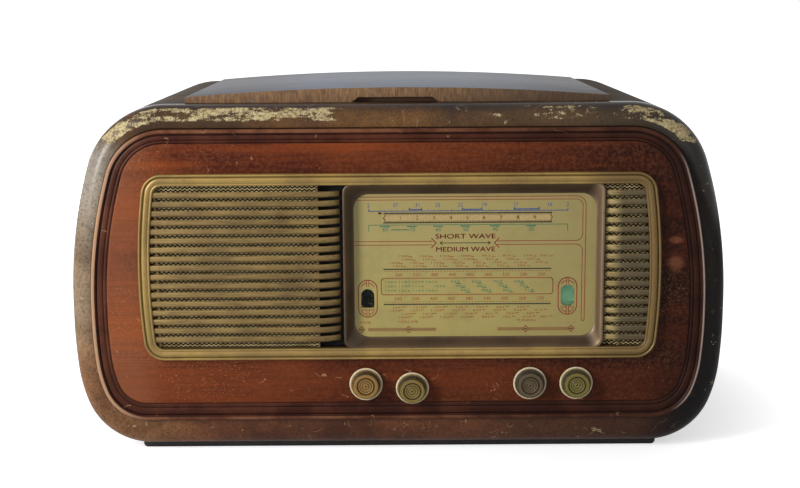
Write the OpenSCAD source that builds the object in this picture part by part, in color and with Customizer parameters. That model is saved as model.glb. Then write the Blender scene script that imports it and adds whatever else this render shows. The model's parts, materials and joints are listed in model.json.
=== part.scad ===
// Table radio receiver with a record player under its lid. Bent wooden cabinet,
// gilt louvred front, glass tuning scale, four knobs. Front faces -Y, millimetres.

/* [Cabinet] */
// Width of the cabinet at its widest
cabinet_w = 650; // [630:1:690]
// Height of the cabinet without its feet and lid
cabinet_h = 343; // [341:1:360]
// Depth of the cabinet behind the front moulding
cabinet_d = 388; // [370:1:430]
// Thickness of the bent plywood wrap
wall = 12; // [11:0.5:13]
// Radius of the bottom corners
bottom_r = 67; // [60:1:72]
// Radius of the curve above each bottom corner
haunch_r = 142; // [120:1:150]
// Radius of the bowed sides
side_r = 480; // [450:5:490]
// Radius of the shoulders
shoulder_r = 81; // [74:1:86]
// Width of the rebate that the back cover lies in
rebate_w = 6; // [5:0.5:7]
// Height of the two black runners that the cabinet stands on
runner_h = 7; // [6:0.5:16]
// Length of a runner across the cabinet
runner_l = 523; // [480:1:526]
// Depth of a runner
runner_d = 24; // [16:1:36]

/* [Front moulding] */
// Forward reach of the rounded moulding
rim_reach = 16; // [13:0.5:20]
// Width of the moulding at the sides
rim_side = 21; // [18:0.5:24]
// Width of the moulding at the top
rim_top = 22.5; // [20:0.5:25]
// Width of the moulding at the bottom
rim_bottom = 28; // [24:0.5:30]
// Length of the moulding behind its rounded part
rim_back = 6; // [4:0.5:8]
// Width of the ledge that the front board lies on
rim_ledge = 9; // [6:0.5:11]

/* [Front board] */
// Thickness of the front board in the hollow of its moulded edge
board_t = 12; // [10:0.5:13]
// Height of the board's middle field over the moulding
board_proud = 4; // [2.5:0.5:6]
// Width of the bead along the board's edge
bead_w = 5.8; // [4.5:0.1:7]
// Width of the whole moulded edge, at the bottom
edge_w = 18.5; // [16:0.5:20]
// Share of the width behind the bead that the moulded edge keeps at the sides
edge_side_share = 0.85; // [0.7:0.05:1]
// Share of the width behind the bead that the moulded edge keeps at the top
edge_top_share = 0.67; // [0.55:0.01:1]
// Height of the middle field over the hollow of the moulded edge
field_up = 2; // [1:0.25:3]
// Diameter of the hole for each control shaft
shaft_hole_d = 17; // [15.5:0.5:20]

/* [Gilt front frame] */
// Width of the frame
frame_w = 512; // [506:1:518]
// Height of the frame
frame_h = 185; // [182:1:190]
// Sideways offset of the frame
frame_x = 1.5; // [-1:0.5:3]
// Height of the frame's middle over the cabinet's bottom
frame_z = 184.5; // [182:0.5:187]
// Width of the fluted band
band_w = 11.5; // [10:0.5:12.5]
// Height of the fluted band over the front board
band_up = 7; // [6.5:0.25:9]
// Height of one slat
slat_h = 6; // [5:0.25:7]
// Thickness of a slat
slat_t = 2.4; // [1.8:0.1:2.8]
// Number of slats in each louvre
slat_count = 17; // [15:1:17]
// Radius on which the long slats turn inwards at the scale
slat_turn_r = 24; // [20:1:26]
// Angle that the long slats turn through
slat_turn = 50; // [44:1:54]
// Radius on which the short slats turn inwards at the scale
short_turn_r = 14; // [12:1:16]
// Angle that the short slats turn through
short_turn = 42; // [36:1:46]

/* [Tuning scale] */
// Width of the visible glass
window_w = 238.6; // [234:0.2:240]
// Height of the bezel's slope above and below the glass
bezel_rise = 9.1; // [8:0.1:11]
// Middle of the visible glass, sideways
window_x = 75.6; // [74:0.2:77]
// Thickness of the glass
glass_t = 3; // [2:0.25:3.5]
// Width of the glass hidden behind the bezel
glass_lap = 4; // [2.5:0.25:4.5]
// Gap between the glass and the metal backplate
scale_gap = 10; // [10:0.25:11.5]
// Radius of the cord on the drum
drum_r = 67; // [55:1:67]
// Radius of the cord on the tuning shaft
spool_r = 4; // [3.8:0.1:5]
// Radius of the colour flag discs
flag_r = 26; // [25:0.5:27]
// Diameter of the cords
cord_d = 0.8; // [0.6:0.1:1]

/* [Knobs] */
// Diameter of a knob's back flange
knob_d = 33; // [29:0.5:36]
// Diameter of a knob's ribbed grip
grip_d = 25; // [21:0.5:27]
// Length of a knob
knob_l = 12; // [10:0.5:16]
// Gap between a knob and the front board
knob_gap = 2; // [1.8:0.1:3]
// Diameter of the control shafts
shaft_d = 6; // [5:0.25:6.5]
// Height of the control shafts over the cabinet's bottom
knob_z = 66; // [65:0.25:67]
// Distance between the two knobs of a pair
knob_pitch = 46; // [44:0.5:49]
// Distance between the middles of the two pairs
pair_pitch = 162.8; // [161:0.2:165]
// Middle of the four knobs, sideways
knobs_x = 71.7; // [70:0.1:73]
// Droop of the worn volume shaft, in degrees
droop = 4.7; // [3:0.1:5]

/* [Lid and record player] */
// Width of the lid
lid_w = 417.5; // [411:0.5:423]
// Depth of the lid
lid_d = 308; // [304:1:314]
// Thickness of the lid at its ends
lid_end_t = 6; // [5:0.25:8]
// Extra thickness in the middle of the lid
lid_crown = 8.5; // [6:0.25:10]
// Width of the finger notch in the lid's front edge
notch_w = 86; // [60:1:100]
// Overlap of the lid on the cabinet top at the sides and back
lid_lap = 12; // [10:0.5:13]
// Depth of the record player's well under the cabinet top
well_depth = 81; // [80:0.5:84]
// Thickness of the motor board
deck_t = 10; // [8:0.5:11]
// Radius of the turntable
platter_r = 125; // [110:1:128]
// Height of the turntable over the motor board
platter_h = 22; // [20:0.5:22]
// Diameter of the spindle where the record sits
spindle_d = 7.1; // [6.8:0.05:7.2]
// Length of the pickup arm from its pivot to the needle
arm_l = 225; // [215:1:230]
// Diameter of the pickup arm's tube
arm_d = 9; // [7:0.5:10]

/* [Loudspeaker and chassis] */
// Radius of the loudspeaker's flange
speaker_r = 80; // [76:1:81]
// Middle of the loudspeaker, sideways
speaker_x = -156; // [-159:1:-155]
// Height of the loudspeaker's middle over the cabinet's bottom
speaker_z = 168; // [165:1:169]
// Room between the chassis and the widest part of the cabinet's side
chassis_side_room = 83; // [80:1:90]
// Depth of the chassis
chassis_d = 185; // [180:1:195]
// Height of the chassis
chassis_h = 72; // [70:1:73]
// Thickness of the chassis sheet
sheet_t = 1.5; // [1:0.1:2]
// Radial running clearance of shafts and pins
fit_gap = 0.05; // [0.02:0.01:0.09]

/* [Hidden] */
$fn = 48;

// Steps of the curved outlines
arc_step = 6;
// A hair that keeps cuts clean
eps = 0.1;

// Cabinet outline: radii, and the headings where one arc meets the next
shell_radii = [bottom_r, haunch_r, side_r, shoulder_r];
shell_headings = [69, 84, 107];
frame_headings = [84, 87, 98];
frame_corner_r = 20;
frame_straight = 3.65;
frame_bow_r =
  (frame_h - frame_straight - frame_corner_r * (2 - cos(frame_headings[0]) + cos(frame_headings[2])))
  / (cos(frame_headings[0]) - cos(frame_headings[2]));
frame_radii = [frame_corner_r, frame_bow_r, frame_bow_r, frame_corner_r];

// Depths, counted backwards from the plane where the front moulding begins
field_y = -(rim_reach + board_proud);
hollow_y = field_y + field_up;
board_back_y = hollow_y + board_t;
knob_back_y = field_y - knob_gap;
knob_front_y = knob_back_y - knob_l;
band_y = field_y - band_up;
slat_y = field_y - (band_up - 2);
mesh_y = field_y - 1.2;
mesh_t = 1.2;
glass_y = hollow_y + 5;
plate_y = glass_y + glass_t + scale_gap;
plate_t = 1.2;
cord_y = plate_y + 5.2;
flag_cord_y = plate_y + 11;
chassis_y = plate_y + 30;
back_y = cabinet_d - 4;
cover_t = 4;
droop_y = chassis_y - (chassis_y - knob_front_y) * cos(droop) - grip_d / 2 * sin(droop);
plane_y = (-droop_y - cabinet_d) / 2;
board_gap = 0.3;

// Heights, counted from the cabinet's bottom
top_z = cabinet_h;
floor_z = wall;
chassis_z = floor_z + chassis_h;
window_z = frame_z - 1;
window_h = frame_h - 2 * band_w - 2 * bezel_rise;
deck_z = top_z - well_depth;
rail_z = window_z + window_h / 2 + 1.6;
idler_r = 5;
idler_z = rail_z - idler_r;
drum_z = chassis_z + 30;

// Places of the shafts
tone_x = knobs_x - pair_pitch / 2 - knob_pitch / 2;
volume_x = knobs_x - pair_pitch / 2 + knob_pitch / 2;
tuning_x = knobs_x + pair_pitch / 2 - knob_pitch / 2;
band_x = knobs_x + pair_pitch / 2 + knob_pitch / 2;
shaft_r = shaft_d / 2;
flag_pulley_r = 8;
tone_flag_x = window_x - 105.9;
band_flag_x = window_x + 92.7;
tone_flag_z = window_z - 47.5;
band_flag_z = window_z - 45.5;
pointer_x = window_x - window_w / 2 - 0.5;
idler_left_x = window_x - window_w / 2 - 9.5;
idler_right_x = window_x + window_w / 2 + 9.5;
plate_x0 = window_x - window_w / 2 - 14;
plate_x1 = window_x + window_w / 2 + 14;

// Openings of the front board
frame_in_bottom = frame_z - frame_h / 2 + band_w;
frame_in_top = frame_z + frame_h / 2 - band_w;
slat_pitch = (frame_in_top - frame_in_bottom) / (slat_count + 1);
left_bend_x = window_x - window_w / 2 - 33;
right_bend_x = window_x + window_w / 2 + 19;
cut_left = left_bend_x - 2;
cut_right = right_bend_x - 1;
speaker_hole_r = speaker_r - 12;
bolt_ring_r = speaker_r - 5;

// Lid and well
lid_y = 11;
lid_back_y = lid_y + lid_d;
front_lap = 6;
notch_x = -2;
notch_h = 5;
notch_slope = 6.5;
notch_depth = 12;
well_x = lid_w / 2 - lid_lap;
well_y0 = lid_y + front_lap;
well_y1 = lid_back_y - lid_lap;
well_wall = 8;
ledge_w = 10;
ledge_t = 13;
hinge_r = 3;
hinge_pin_r = 1.2;
hinge_y = lid_back_y + hinge_r + 1;
hinge_z = top_z + hinge_r + 0.2;
hinge_x = 130;
hinge_w = 60;
leaf_t = 1.5;
spindle_x = -45;
spindle_y = (well_y0 + well_y1) / 2;
arm_x = 150;
arm_y = well_y1 - 42;
arm_z = deck_z + 38;
mat_t = 2;

// Chassis
chassis_x0 = -58;
chassis_x1 = cabinet_w / 2 - chassis_side_room;
function across_chassis(share) = chassis_x0 + share * (chassis_x1 - chassis_x0);
valve_r = 14;
valve_spots = [for (v = [[0.11, 150], [0.29, 175], [0.47, 175], [0.65, 175], [0.11, 75]])
  [across_chassis(v[0]), v[1]]];

// Helpers for places and shapes
function yo(v) = plane_y + v;
function zo(v) = runner_h + v;
function last(p) = p[len(p) - 1];
function arc(p, r, from, to) =
  let (n = max(1, ceil((to - from) / arc_step)))
  [for (i = [1:n]) let (t = from + (to - from) * i / n)
    [p[0] + r * (sin(t) - sin(from)), p[1] + r * (cos(from) - cos(t))]];
function side_curve(w, h, r, a) =
  let (
    flat = w / 2 - r[0] * sin(a[0]) - r[1] * (sin(a[1]) - sin(a[0])) - r[2] * (1 - sin(a[1])),
    rise = r[0] * (1 - cos(a[0])) + r[1] * (cos(a[0]) - cos(a[1]))
      + r[2] * (cos(a[1]) - cos(a[2])) + r[3] * (cos(a[2]) + 1),
    p0 = [flat, 0],
    s1 = arc(p0, r[0], 0, a[0]),
    s2 = arc(last(s1), r[1], a[0], a[1]),
    s3 = arc(last(s2), r[2], a[1], 90),
    up = last(s3) + [0, h - rise],
    s4 = arc(up, r[2], 90, a[2]),
    s5 = arc(last(s4), r[3], a[2], 180))
  concat([p0], s1, s2, s3, [up], s4, s5);
function closed(p) = concat(p, [for (i = [len(p) - 1:-1:0]) [-p[i][0], p[i][1]]]);

module prism(a, b) translate([0, yo(b), 0]) rotate([90, 0, 0]) linear_extrude(b - a) children();
function shell_outline(side, bottom, top) =
  [for (p = closed(side_curve(cabinet_w - 2 * side, cabinet_h - bottom - top,
    [for (r = shell_radii) r - side], shell_headings))) [p[0], p[1] + zo(bottom)]];
module shell_shape(side, bottom, top) polygon(shell_outline(side, bottom, top));
module panel_shape(in) shell_shape(rim_side + in, rim_bottom + in, rim_top + in);
function past_bead(in, share) = bead_w + (in - bead_w) * share;
module edge_shape(in)
  shell_shape(rim_side + past_bead(in, edge_side_share), rim_bottom + in, rim_top + past_bead(in, edge_top_share));
module frame_shape(in)
  translate([frame_x, zo(frame_z - frame_h / 2 + in)])
    polygon(closed(side_curve(frame_w - 2 * in, frame_h - 2 * in,
      [for (r = frame_radii) r - in], frame_headings)));
module round_rect(x0, x1, z0, z1, r) {
  translate([x0 + r, zo(z0)]) square([x1 - x0 - 2 * r, z1 - z0]);
  translate([x0, zo(z0 + r)]) square([x1 - x0, z1 - z0 - 2 * r]);
  for (x = [x0 + r, x1 - r], z = [z0 + r, z1 - r]) translate([x, zo(z)]) circle(r);
}
module box(x0, x1, a, b, z0, z1) translate([x0, yo(a), zo(z0)]) cube([x1 - x0, b - a, z1 - z0]);
module rod_y(x, z, r, a, b) translate([x, yo(b), zo(z)]) rotate([90, 0, 0]) cylinder(r = r, h = b - a);
module rod_z(x, y, r, z0, z1) translate([x, yo(y), zo(z0)]) cylinder(r = r, h = z1 - z0);
module rod_x(y, z, r, x0, x1) translate([x0, yo(y), zo(z)]) rotate([0, 90, 0]) cylinder(r = r, h = x1 - x0);
module at_shaft(x, tilt = 0) translate([x, yo(chassis_y), zo(knob_z)]) rotate([tilt, 0, 0]) children();
module along(r, a, b) translate([0, b, 0]) rotate([90, 0, 0]) cylinder(r = r, h = b - a);

// Cabinet
module cabinet_shell() color("saddlebrown") difference() {
  prism(rim_back, cabinet_d) shell_shape(0, 0, 0);
  prism(rim_back - 1, cabinet_d + 1) shell_shape(wall, wall, wall);
  prism(back_y - cover_t, cabinet_d + 1) shell_shape(rebate_w, rebate_w, rebate_w);
  box(-well_x, well_x, well_y0, well_y1, top_z - wall - 1, top_z + 1);
  cover_screw_places() along(1.5, -14, 1);
  for (x = [chassis_x0 + 7, chassis_x1 - 7], y = [chassis_y + 20, chassis_y + chassis_d - 20])
    rod_z(x, y, 2.1, -1, floor_z + 1);
}
module cover_screw_places() {
  in = (wall + rebate_w) / 2;
  side_x = cabinet_w / 2 - in;
  side_z = bottom_r + haunch_r * 0.36;
  for (s = [-1, 1]) {
    for (p = [[150, in], [150, top_z - in], [side_x - 0.4, side_z]])
      translate([s * p[0], yo(back_y - cover_t), zo(p[1])]) children();
  }
}
// Rings of the rounded moulding from its back to its front: depth and share of the width
rim_land = 1.5;
rim_steps = 6;
rim_rings = concat([[rim_back, 0]],
  [for (i = [0:rim_steps]) [-rim_reach * sin(90 * i / rim_steps), 1 - cos(90 * i / rim_steps)]]);
function rim_ring(k) = shell_outline((rim_side - rim_land) * k, (rim_bottom - rim_land) * k, (rim_top - rim_land) * k);
module front_rim() {
  n = len(rim_ring(0));
  m = len(rim_rings);
  points = [for (r = rim_rings, p = rim_ring(r[1])) [p[0], yo(r[0]), p[1]]];
  sides = [for (j = [0:m - 2], i = [0:n - 1], h = [0, 1])
    let (k = (i + 1) % n)
    h == 0 ? [j * n + i, (j + 1) * n + k, j * n + k] : [j * n + i, (j + 1) * n + i, (j + 1) * n + k]];
  color("#6b3a20") difference() {
    polyhedron(points, concat([[for (i = [0:n - 1]) i]], sides, [[for (i = [n - 1:-1:0]) (m - 1) * n + i]]));
    prism(-rim_reach - 1, board_back_y) panel_shape(0);
    prism(board_back_y - 1, rim_back + 1) panel_shape(rim_ledge);
  }
}
module front_panel() color("#7a3520") difference() {
  union() {
    prism(hollow_y, board_back_y) panel_shape(board_gap);
    prism(field_y - 0.5, hollow_y + eps) difference() {
      panel_shape(board_gap);
      panel_shape(bead_w);
    }
    prism(field_y + 0.7, hollow_y + eps) difference() {
      edge_shape(bead_w + 3.5);
      edge_shape(edge_w - 3);
    }
    prism(field_y, hollow_y + eps) edge_shape(edge_w);
  }
  prism(field_y - 1, board_back_y + 1)
    round_rect(cut_left, cut_right, frame_in_bottom + 0.5, frame_in_top - 0.5, 5);
  rod_y(speaker_x, speaker_z, speaker_hole_r, field_y - 1, board_back_y + 1);
  speaker_bolt_places() {
    along(2.1, field_y - 1, board_back_y + 1);
    along(4.3, field_y - 1, field_y + 2.6);
  }
  for (x = [tone_x, volume_x, tuning_x, band_x])
    rod_y(x, knob_z, shaft_hole_d / 2, field_y - 1, board_back_y + 1);
}
module speaker_bolt_places()
  for (a = [45:90:315])
    translate([speaker_x + bolt_ring_r * cos(a), yo(0), zo(speaker_z + bolt_ring_r * sin(a))]) children();
module base_runners() color("#1d1a18")
  for (y = [4, cabinet_d - runner_d - 12]) prism(y, y + runner_d) polygon(closed(runner_half()));
function runner_half() =
  let (c = runner_h * 0.6)
  concat([for (a = [0:15:90]) [runner_l / 2 - c + c * sin(a), c - c * cos(a)]], [[runner_l / 2, runner_h]]);
module well_frame() color("#8a6a45") difference() {
  box(-well_x - well_wall, well_x + well_wall, well_y0 - well_wall, well_y1 + well_wall,
    deck_z - deck_t - ledge_t, top_z - wall);
  box(-well_x, well_x, well_y0, well_y1, deck_z - deck_t, top_z);
  box(-well_x + ledge_w, well_x - ledge_w, well_y0 + ledge_w, well_y1 - ledge_w,
    deck_z - deck_t - ledge_t - 1, top_z);
  deck_screw_places() rod_up(1.5, -13, 1);
}
module deck_screw_places()
  for (x = [-well_x + 5, well_x - 5], y = [well_y0 + 5, well_y1 - 5])
    translate([x, yo(y), zo(deck_z - deck_t)]) children();
module rod_up(r, a, b) translate([0, 0, a]) cylinder(r = r, h = b - a);
module deck_board() color("#7d4a2a") difference() {
  box(-well_x + 0.5, well_x - 0.5, well_y0 + 0.5, well_y1 - 0.5, deck_z - deck_t, deck_z);
  deck_screw_places() rod_up(1.8, -1, deck_t + 1);
  rod_z(spindle_x, spindle_y, 12, deck_z - deck_t - 1, deck_z + 1);
}
module wood_screws() color("#b9a878") {
  deck_screw_places() {
    rod_up(1.5, -11, deck_t + eps);
    rod_up(3.2, deck_t, deck_t + 1.6);
  }
  cover_screw_places() {
    along(1.5, -12, cover_t + eps);
    along(2.8, cover_t, cover_t + 1.6);
  }
}
module back_cover() color("#5b4632") difference() {
  prism(back_y - cover_t, back_y) shell_shape(rebate_w + 0.5, rebate_w + 0.5, rebate_w + 0.5);
  cover_screw_places() along(1.8, -1, cover_t + 1);
  for (i = [-7:7], j = [0:5])
    box(i * 34 - 11, i * 34 + 11, back_y - cover_t - 1, back_y + 1, 148 + j * 15, 153 + j * 15);
  prism(back_y - cover_t - 1, back_y + 1)
    round_rect(socket_x - plate_lap + 4, last(socket_xs) + plate_lap - 4,
      socket_z - plate_half_h + 4, socket_z + plate_half_h - 4, 4);
  rod_y(-190, 40, 6, back_y - cover_t - 1, back_y + 1);
}

// Gilt front
module escutcheon() {
  steps = [[0, 3, 0], [3, 8, 1.5], [8, 9.2, 3], [9.2, band_w, 0.5]];
  x0 = window_x - window_w / 2;
  x1 = window_x + window_w / 2;
  z0 = window_z - window_h / 2;
  z1 = window_z + window_h / 2;
  color("#9c8340") {
    for (s = steps)
      prism(band_y + s[2], field_y) difference() {
        frame_shape(s[0]);
        frame_shape(s[1]);
      }
    difference() {
      hull() {
        prism(slat_y, slat_y + eps) bezel_rect(x0 - 12, x1 + 8.6, frame_in_bottom - 1, frame_in_top + 1, 9);
        prism(glass_y - eps, glass_y) bezel_rect(x0 - 2, x1 + 2, z0 - 2, z1 + 2, 16);
      }
      hull() {
        prism(slat_y - 1, slat_y - 1 + eps)
          bezel_rect(x0 - 10.4, x1 + 5.3, frame_in_bottom + 0.6, frame_in_top - 0.6, 8);
        prism(glass_y, glass_y + 1) bezel_rect(x0, x1, z0, z1, 15);
      }
    }
  }
}
module bezel_rect(x0, x1, z0, z1, r)
  for (x = [x0 + r, x1 - r], z = [z0 + r, z1 - r]) translate([x, zo(z)]) circle(r, $fn = 32);
// Slat seen from above: straight, then turned inwards beside the scale
function slat_plan(x_out, x_bend, r, turn, s) =
  let (outer = [for (i = [0:6]) let (t = turn * i / 6) [x_bend + s * r * sin(t), slat_y + r * (1 - cos(t))]],
    inner = [for (i = [6:-1:0]) let (t = turn * i / 6)
      [x_bend + s * (r - slat_t) * sin(t), slat_y + r - (r - slat_t) * cos(t)]])
  concat([[x_out, slat_y]], outer, inner, [[x_out, slat_y + slat_t]]);
module louvre(x_out, x_bend, r, turn, s, ribs) intersection() {
  union() {
    for (i = [0:slat_count - 1])
      translate([0, plane_y, zo(frame_z + (i - (slat_count - 1) / 2) * slat_pitch - slat_h / 2)])
        linear_extrude(slat_h) polygon(slat_plan(x_out, x_bend, r, turn, s));
    for (x = ribs)
      box(x - 1, x + 1, slat_y + slat_t - 0.2, mesh_y, frame_in_bottom, frame_in_top);
  }
  prism(slat_y - 1, plate_y) frame_shape(band_w);
}
module left_grille() color("#8f7a4a")
  louvre(frame_x - frame_w / 2, left_bend_x, slat_turn_r, slat_turn, 1,
    [left_bend_x - 4, frame_x - frame_w / 2 + band_w + 7]);
module right_grille() color("#8f7a4a")
  louvre(frame_x + frame_w / 2, right_bend_x, short_turn_r, short_turn, -1,
    [right_bend_x + 3, frame_x + frame_w / 2 - band_w - 6]);
module grille_mesh() color("#6f6a45") {
  mesh_span(frame_x - frame_w / 2, left_bend_x - 1);
  mesh_span(right_bend_x - 1, frame_x + frame_w / 2);
}
module mesh_span(x0, x1) prism(mesh_y, mesh_y + mesh_t) intersection() {
  frame_shape(band_w + 0.4);
  translate([x0, 0]) square([x1 - x0, zo(cabinet_h)]);
}

// Tuning scale
module dial_glass() color("#aab077")
  prism(glass_y, glass_y + glass_t)
    round_rect(window_x - window_w / 2 - glass_lap, window_x + window_w / 2 + glass_lap,
      window_z - window_h / 2 - glass_lap, window_z + window_h / 2 + glass_lap, 4);
module dial_backplate() {
  x0 = plate_x0;
  x1 = plate_x1;
  tab = 8;
  lip = glass_y + glass_t;
  bottom = window_z - window_h / 2 - glass_lap - plate_t;
  color("#c9c2a4") difference() {
    union() {
      box(x0, x1, plate_y, plate_y + plate_t, bottom, rail_z - 7);
      box(x0 + 4, x1 - 4, glass_y, plate_y + eps, bottom, bottom + plate_t);
      for (x = [x0, x1 - tab]) {
        box(x, x + tab, plate_y, plate_y + plate_t, rail_z - 8, rail_z + 5);
        box(x, x + tab, plate_y, plate_y + plate_t, chassis_z, bottom + 1);
        box(x, x + tab, plate_y, chassis_y + 22, chassis_z, chassis_z + plate_t);
      }
      for (x = [x0, x1 - plate_t]) box(x, x + plate_t, lip, plate_y + eps, rail_z - 12, rail_z + 5);
      for (x = [x0, x1 - 14]) box(x, x + 14, lip, lip + plate_t, rail_z - 12, rail_z - 3);
      for (f = [[tone_flag_x, tone_flag_z], [band_flag_x, band_flag_z]])
        rod_y(f[0], f[1], 5, plate_y, plate_y + 2.8);
      for (x = [idler_left_x, idler_right_x])
        rod_y(x, idler_z, 1.5, plate_y, cord_y + 2.2);
    }
    for (f = [[tone_flag_x, tone_flag_z], [band_flag_x, band_flag_z]])
      rod_y(f[0], f[1], 2 + fit_gap, plate_y - 1, plate_y + 4);
    for (x = lamp_xs) rod_y(x, lamp_z, 6.5, plate_y - 1, plate_y + plate_t + 1);
    rod_x(plate_y - 4, rail_z, 1.5, x0 - 1, x1 + 1);
  }
}
lamp_xs = [window_x - 90, window_x + 100];
lamp_z = window_z + 41;
module dial_lamps() color("#d8cf9a")
  for (x = lamp_xs) {
    rod_y(x, lamp_z, 7.2, plate_y + plate_t, plate_y + 16);
    rod_y(x, lamp_z, 4.5, plate_y - 1, plate_y + plate_t + eps);
    translate([x, yo(plate_y - 1), zo(lamp_z)]) sphere(4.5);
  }
module pointer_rail() color("silver")
  rod_x(plate_y - 4, rail_z, 1.5, plate_x0 - 1, plate_x1 + 1);
module pointer() color("#b5362a") {
  difference() {
    box(pointer_x - 5, pointer_x + 5, plate_y - 7, plate_y - 1.2, rail_z - 4, rail_z + 4);
    rod_x(plate_y - 4, rail_z, 1.5 + fit_gap, pointer_x - 6, pointer_x + 6);
  }
  box(pointer_x - 1.5, pointer_x + 1.5, plate_y - 1.2 - eps, cord_y - cord_d / 2 - 0.3, rail_z - 2, rail_z + 2);
  box(pointer_x - 0.6, pointer_x + 0.6, plate_y - 8, plate_y - 7 + eps,
    window_z - window_h / 2 + 4, rail_z + 2);
}
// Grooved wheel on a cord: the cord's centre runs at radius r
module cord_wheel(x, z, r, y, bore) difference() {
  union() {
    rod_y(x, z, (r - cord_d / 2) * cos(180 / $fn) - 0.1, y - 2.2, y + 2.2);
    rod_y(x, z, r + 1.2, y - 2.2, y - 1.2);
    rod_y(x, z, r + 1.2, y + 1.2, y + 2.2);
  }
  if (bore > 0) rod_y(x, z, bore, y - 3, y + 3);
}
module idler_left() color("#caa24a") cord_wheel(idler_left_x, idler_z, idler_r, cord_y, 1.5 + fit_gap);
module idler_right() color("#caa24a") cord_wheel(idler_right_x, idler_z, idler_r, cord_y, 1.5 + fit_gap);
module cord_loop(wheels, y) prism(y - cord_d / 2, y + cord_d / 2) difference() {
  hull() for (w = wheels) translate([w[0], zo(w[1])]) circle(w[2] + cord_d / 2);
  hull() for (w = wheels) translate([w[0], zo(w[1])]) circle(w[2] - cord_d / 2);
}
module dial_cords() color("#8d8468") {
  cord_loop([[knobs_x, drum_z, drum_r], [tuning_x, knob_z, spool_r],
    [idler_left_x, idler_z, idler_r], [idler_right_x, idler_z, idler_r]], cord_y);
  cord_loop([[tone_x, knob_z, flag_pulley_r], [tone_flag_x, tone_flag_z, flag_pulley_r]], flag_cord_y);
  cord_loop([[band_x, knob_z, flag_pulley_r], [band_flag_x, band_flag_z, flag_pulley_r]], flag_cord_y);
}
module flag(x, z) {
  rod_y(x, z, flag_r, plate_y - 5, plate_y - 4);
  rod_y(x, z, 2, plate_y - 5, flag_cord_y + 3);
  cord_wheel(x, z, flag_pulley_r, flag_cord_y, 0);
}
module tone_flag() color("#151515") flag(tone_flag_x, tone_flag_z);
module band_flag() color("#4fa090") flag(band_flag_x, band_flag_z);

// Knobs, shafts and controls, drawn from the chassis front towards the knob
module knob() {
  d = knob_front_y - chassis_y;
  difference() {
    union() {
      along(knob_d / 2, d + knob_l - 2.5, d + knob_l);
      along(grip_d / 2 + 0.8, d + 1.2, d + knob_l - 2);
      along(grip_d / 2, d, d + 1.3);
    }
    along(shaft_r, d + 3, d + knob_l + 1);
    translate([0, d, 0]) rotate([90, 0, 0]) rotate_extrude()
      polygon([[grip_d * 0.3, -0.8], [grip_d * 0.38, -0.8], [grip_d * 0.38, 1], [grip_d * 0.3, 1]]);
  }
}
module shaft(tail) along(shaft_r, knob_front_y - chassis_y + 3, tail);
module flag_drive() {
  d = flag_cord_y - chassis_y;
  along(flag_pulley_r - cord_d / 2 - 0.1, d - 2.2, d + 2.2);
  along(flag_pulley_r + 1.4, d - 2.2, d - 1.2);
  along(flag_pulley_r + 1.4, d + 1.2, d + 2.2);
}
module tone_knob() color("#b5a468") at_shaft(tone_x) knob();
module volume_knob() color("#b5a468") at_shaft(volume_x, droop) knob();
module tuning_knob() color("#b5a468") at_shaft(tuning_x) knob();
module band_knob() color("#b5a468") at_shaft(band_x) knob();
module tone_shaft() color("silver") at_shaft(tone_x) {
  shaft(10);
  flag_drive();
}
module volume_shaft() color("silver") at_shaft(volume_x, droop) shaft(10);
module tuning_shaft() color("silver") at_shaft(tuning_x) {
  d = cord_y - chassis_y;
  shaft(12);
  along(spool_r - cord_d / 2 - 0.1, d - 2.2, d + 2.2);
  along(spool_r + 1.2, d - 2.2, d - 1.2);
  along(spool_r + 1.2, d + 1.2, d + 2.2);
}
module band_shaft() color("silver") at_shaft(band_x) {
  shaft(34);
  flag_drive();
}
module control(can_r, can_l, gap = 0) difference() {
  union() {
    along(can_r, sheet_t + gap, sheet_t + gap + can_l);
    along(4.8, -6.5, sheet_t + gap + eps);
    along(7.5, -3.5 - gap, -gap, $fn = 6);
  }
  along(shaft_r + fit_gap, -8, sheet_t + gap + can_l - 2);
}
module tone_control() color("#a9a9a4") at_shaft(tone_x) control(12, 13);
module volume_control() color("#a9a9a4") at_shaft(volume_x, droop) control(12, 13, 1);
module tuning_bush() color("#b08d4f") at_shaft(tuning_x) control(8, 14);
module band_switch() color("#b9945a") at_shaft(band_x) difference() {
  union() {
    control(8, 6);
    for (d = [12, 24]) along(15.5, d, d + 2);
    for (s = [-1, 1]) translate([s * 12, 0, 0]) along(1.5, sheet_t, 28);
    translate([-14, sheet_t, -4]) cube([28, 1.5, 8]);
  }
  along(shaft_r + fit_gap, -8, 40);
}

// Tuning capacitor
rotor_y = [for (i = [0:4]) chassis_y + 4 + i * 8];
module tuning_rotor() color("#c9c9c4") {
  difference() {
    cord_wheel(knobs_x, drum_z, drum_r, cord_y, 0);
    for (a = [45:90:315])
      rod_y(knobs_x + 38 * cos(a), drum_z + 38 * sin(a), 12, cord_y - 3, cord_y + 3);
  }
  rod_y(knobs_x, drum_z, shaft_r, cord_y, chassis_y + 46);
  for (y = rotor_y) intersection() {
    rod_y(knobs_x, drum_z, 25, y, y + 1.5);
    box(knobs_x - 30, knobs_x + 30, y - 1, y + 3, drum_z, drum_z + 30);
  }
}
module tuning_capacitor_frame() color("#9aa0a0") difference() {
  union() {
    for (y = [chassis_y - 2, chassis_y + 42])
      box(knobs_x - 28, knobs_x + 28, y, y + 2, chassis_z, drum_z + 8);
    box(knobs_x - 28, knobs_x + 28, chassis_y, chassis_y + 43, chassis_z, chassis_z + 1.5);
    for (i = [0:3])
      box(knobs_x - 26, knobs_x + 26, rotor_y[i] + 4, rotor_y[i] + 5, chassis_z + 1, drum_z - 6);
  }
  rod_y(knobs_x, drum_z, shaft_r + fit_gap, chassis_y - 4, chassis_y + 46);
}

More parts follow.
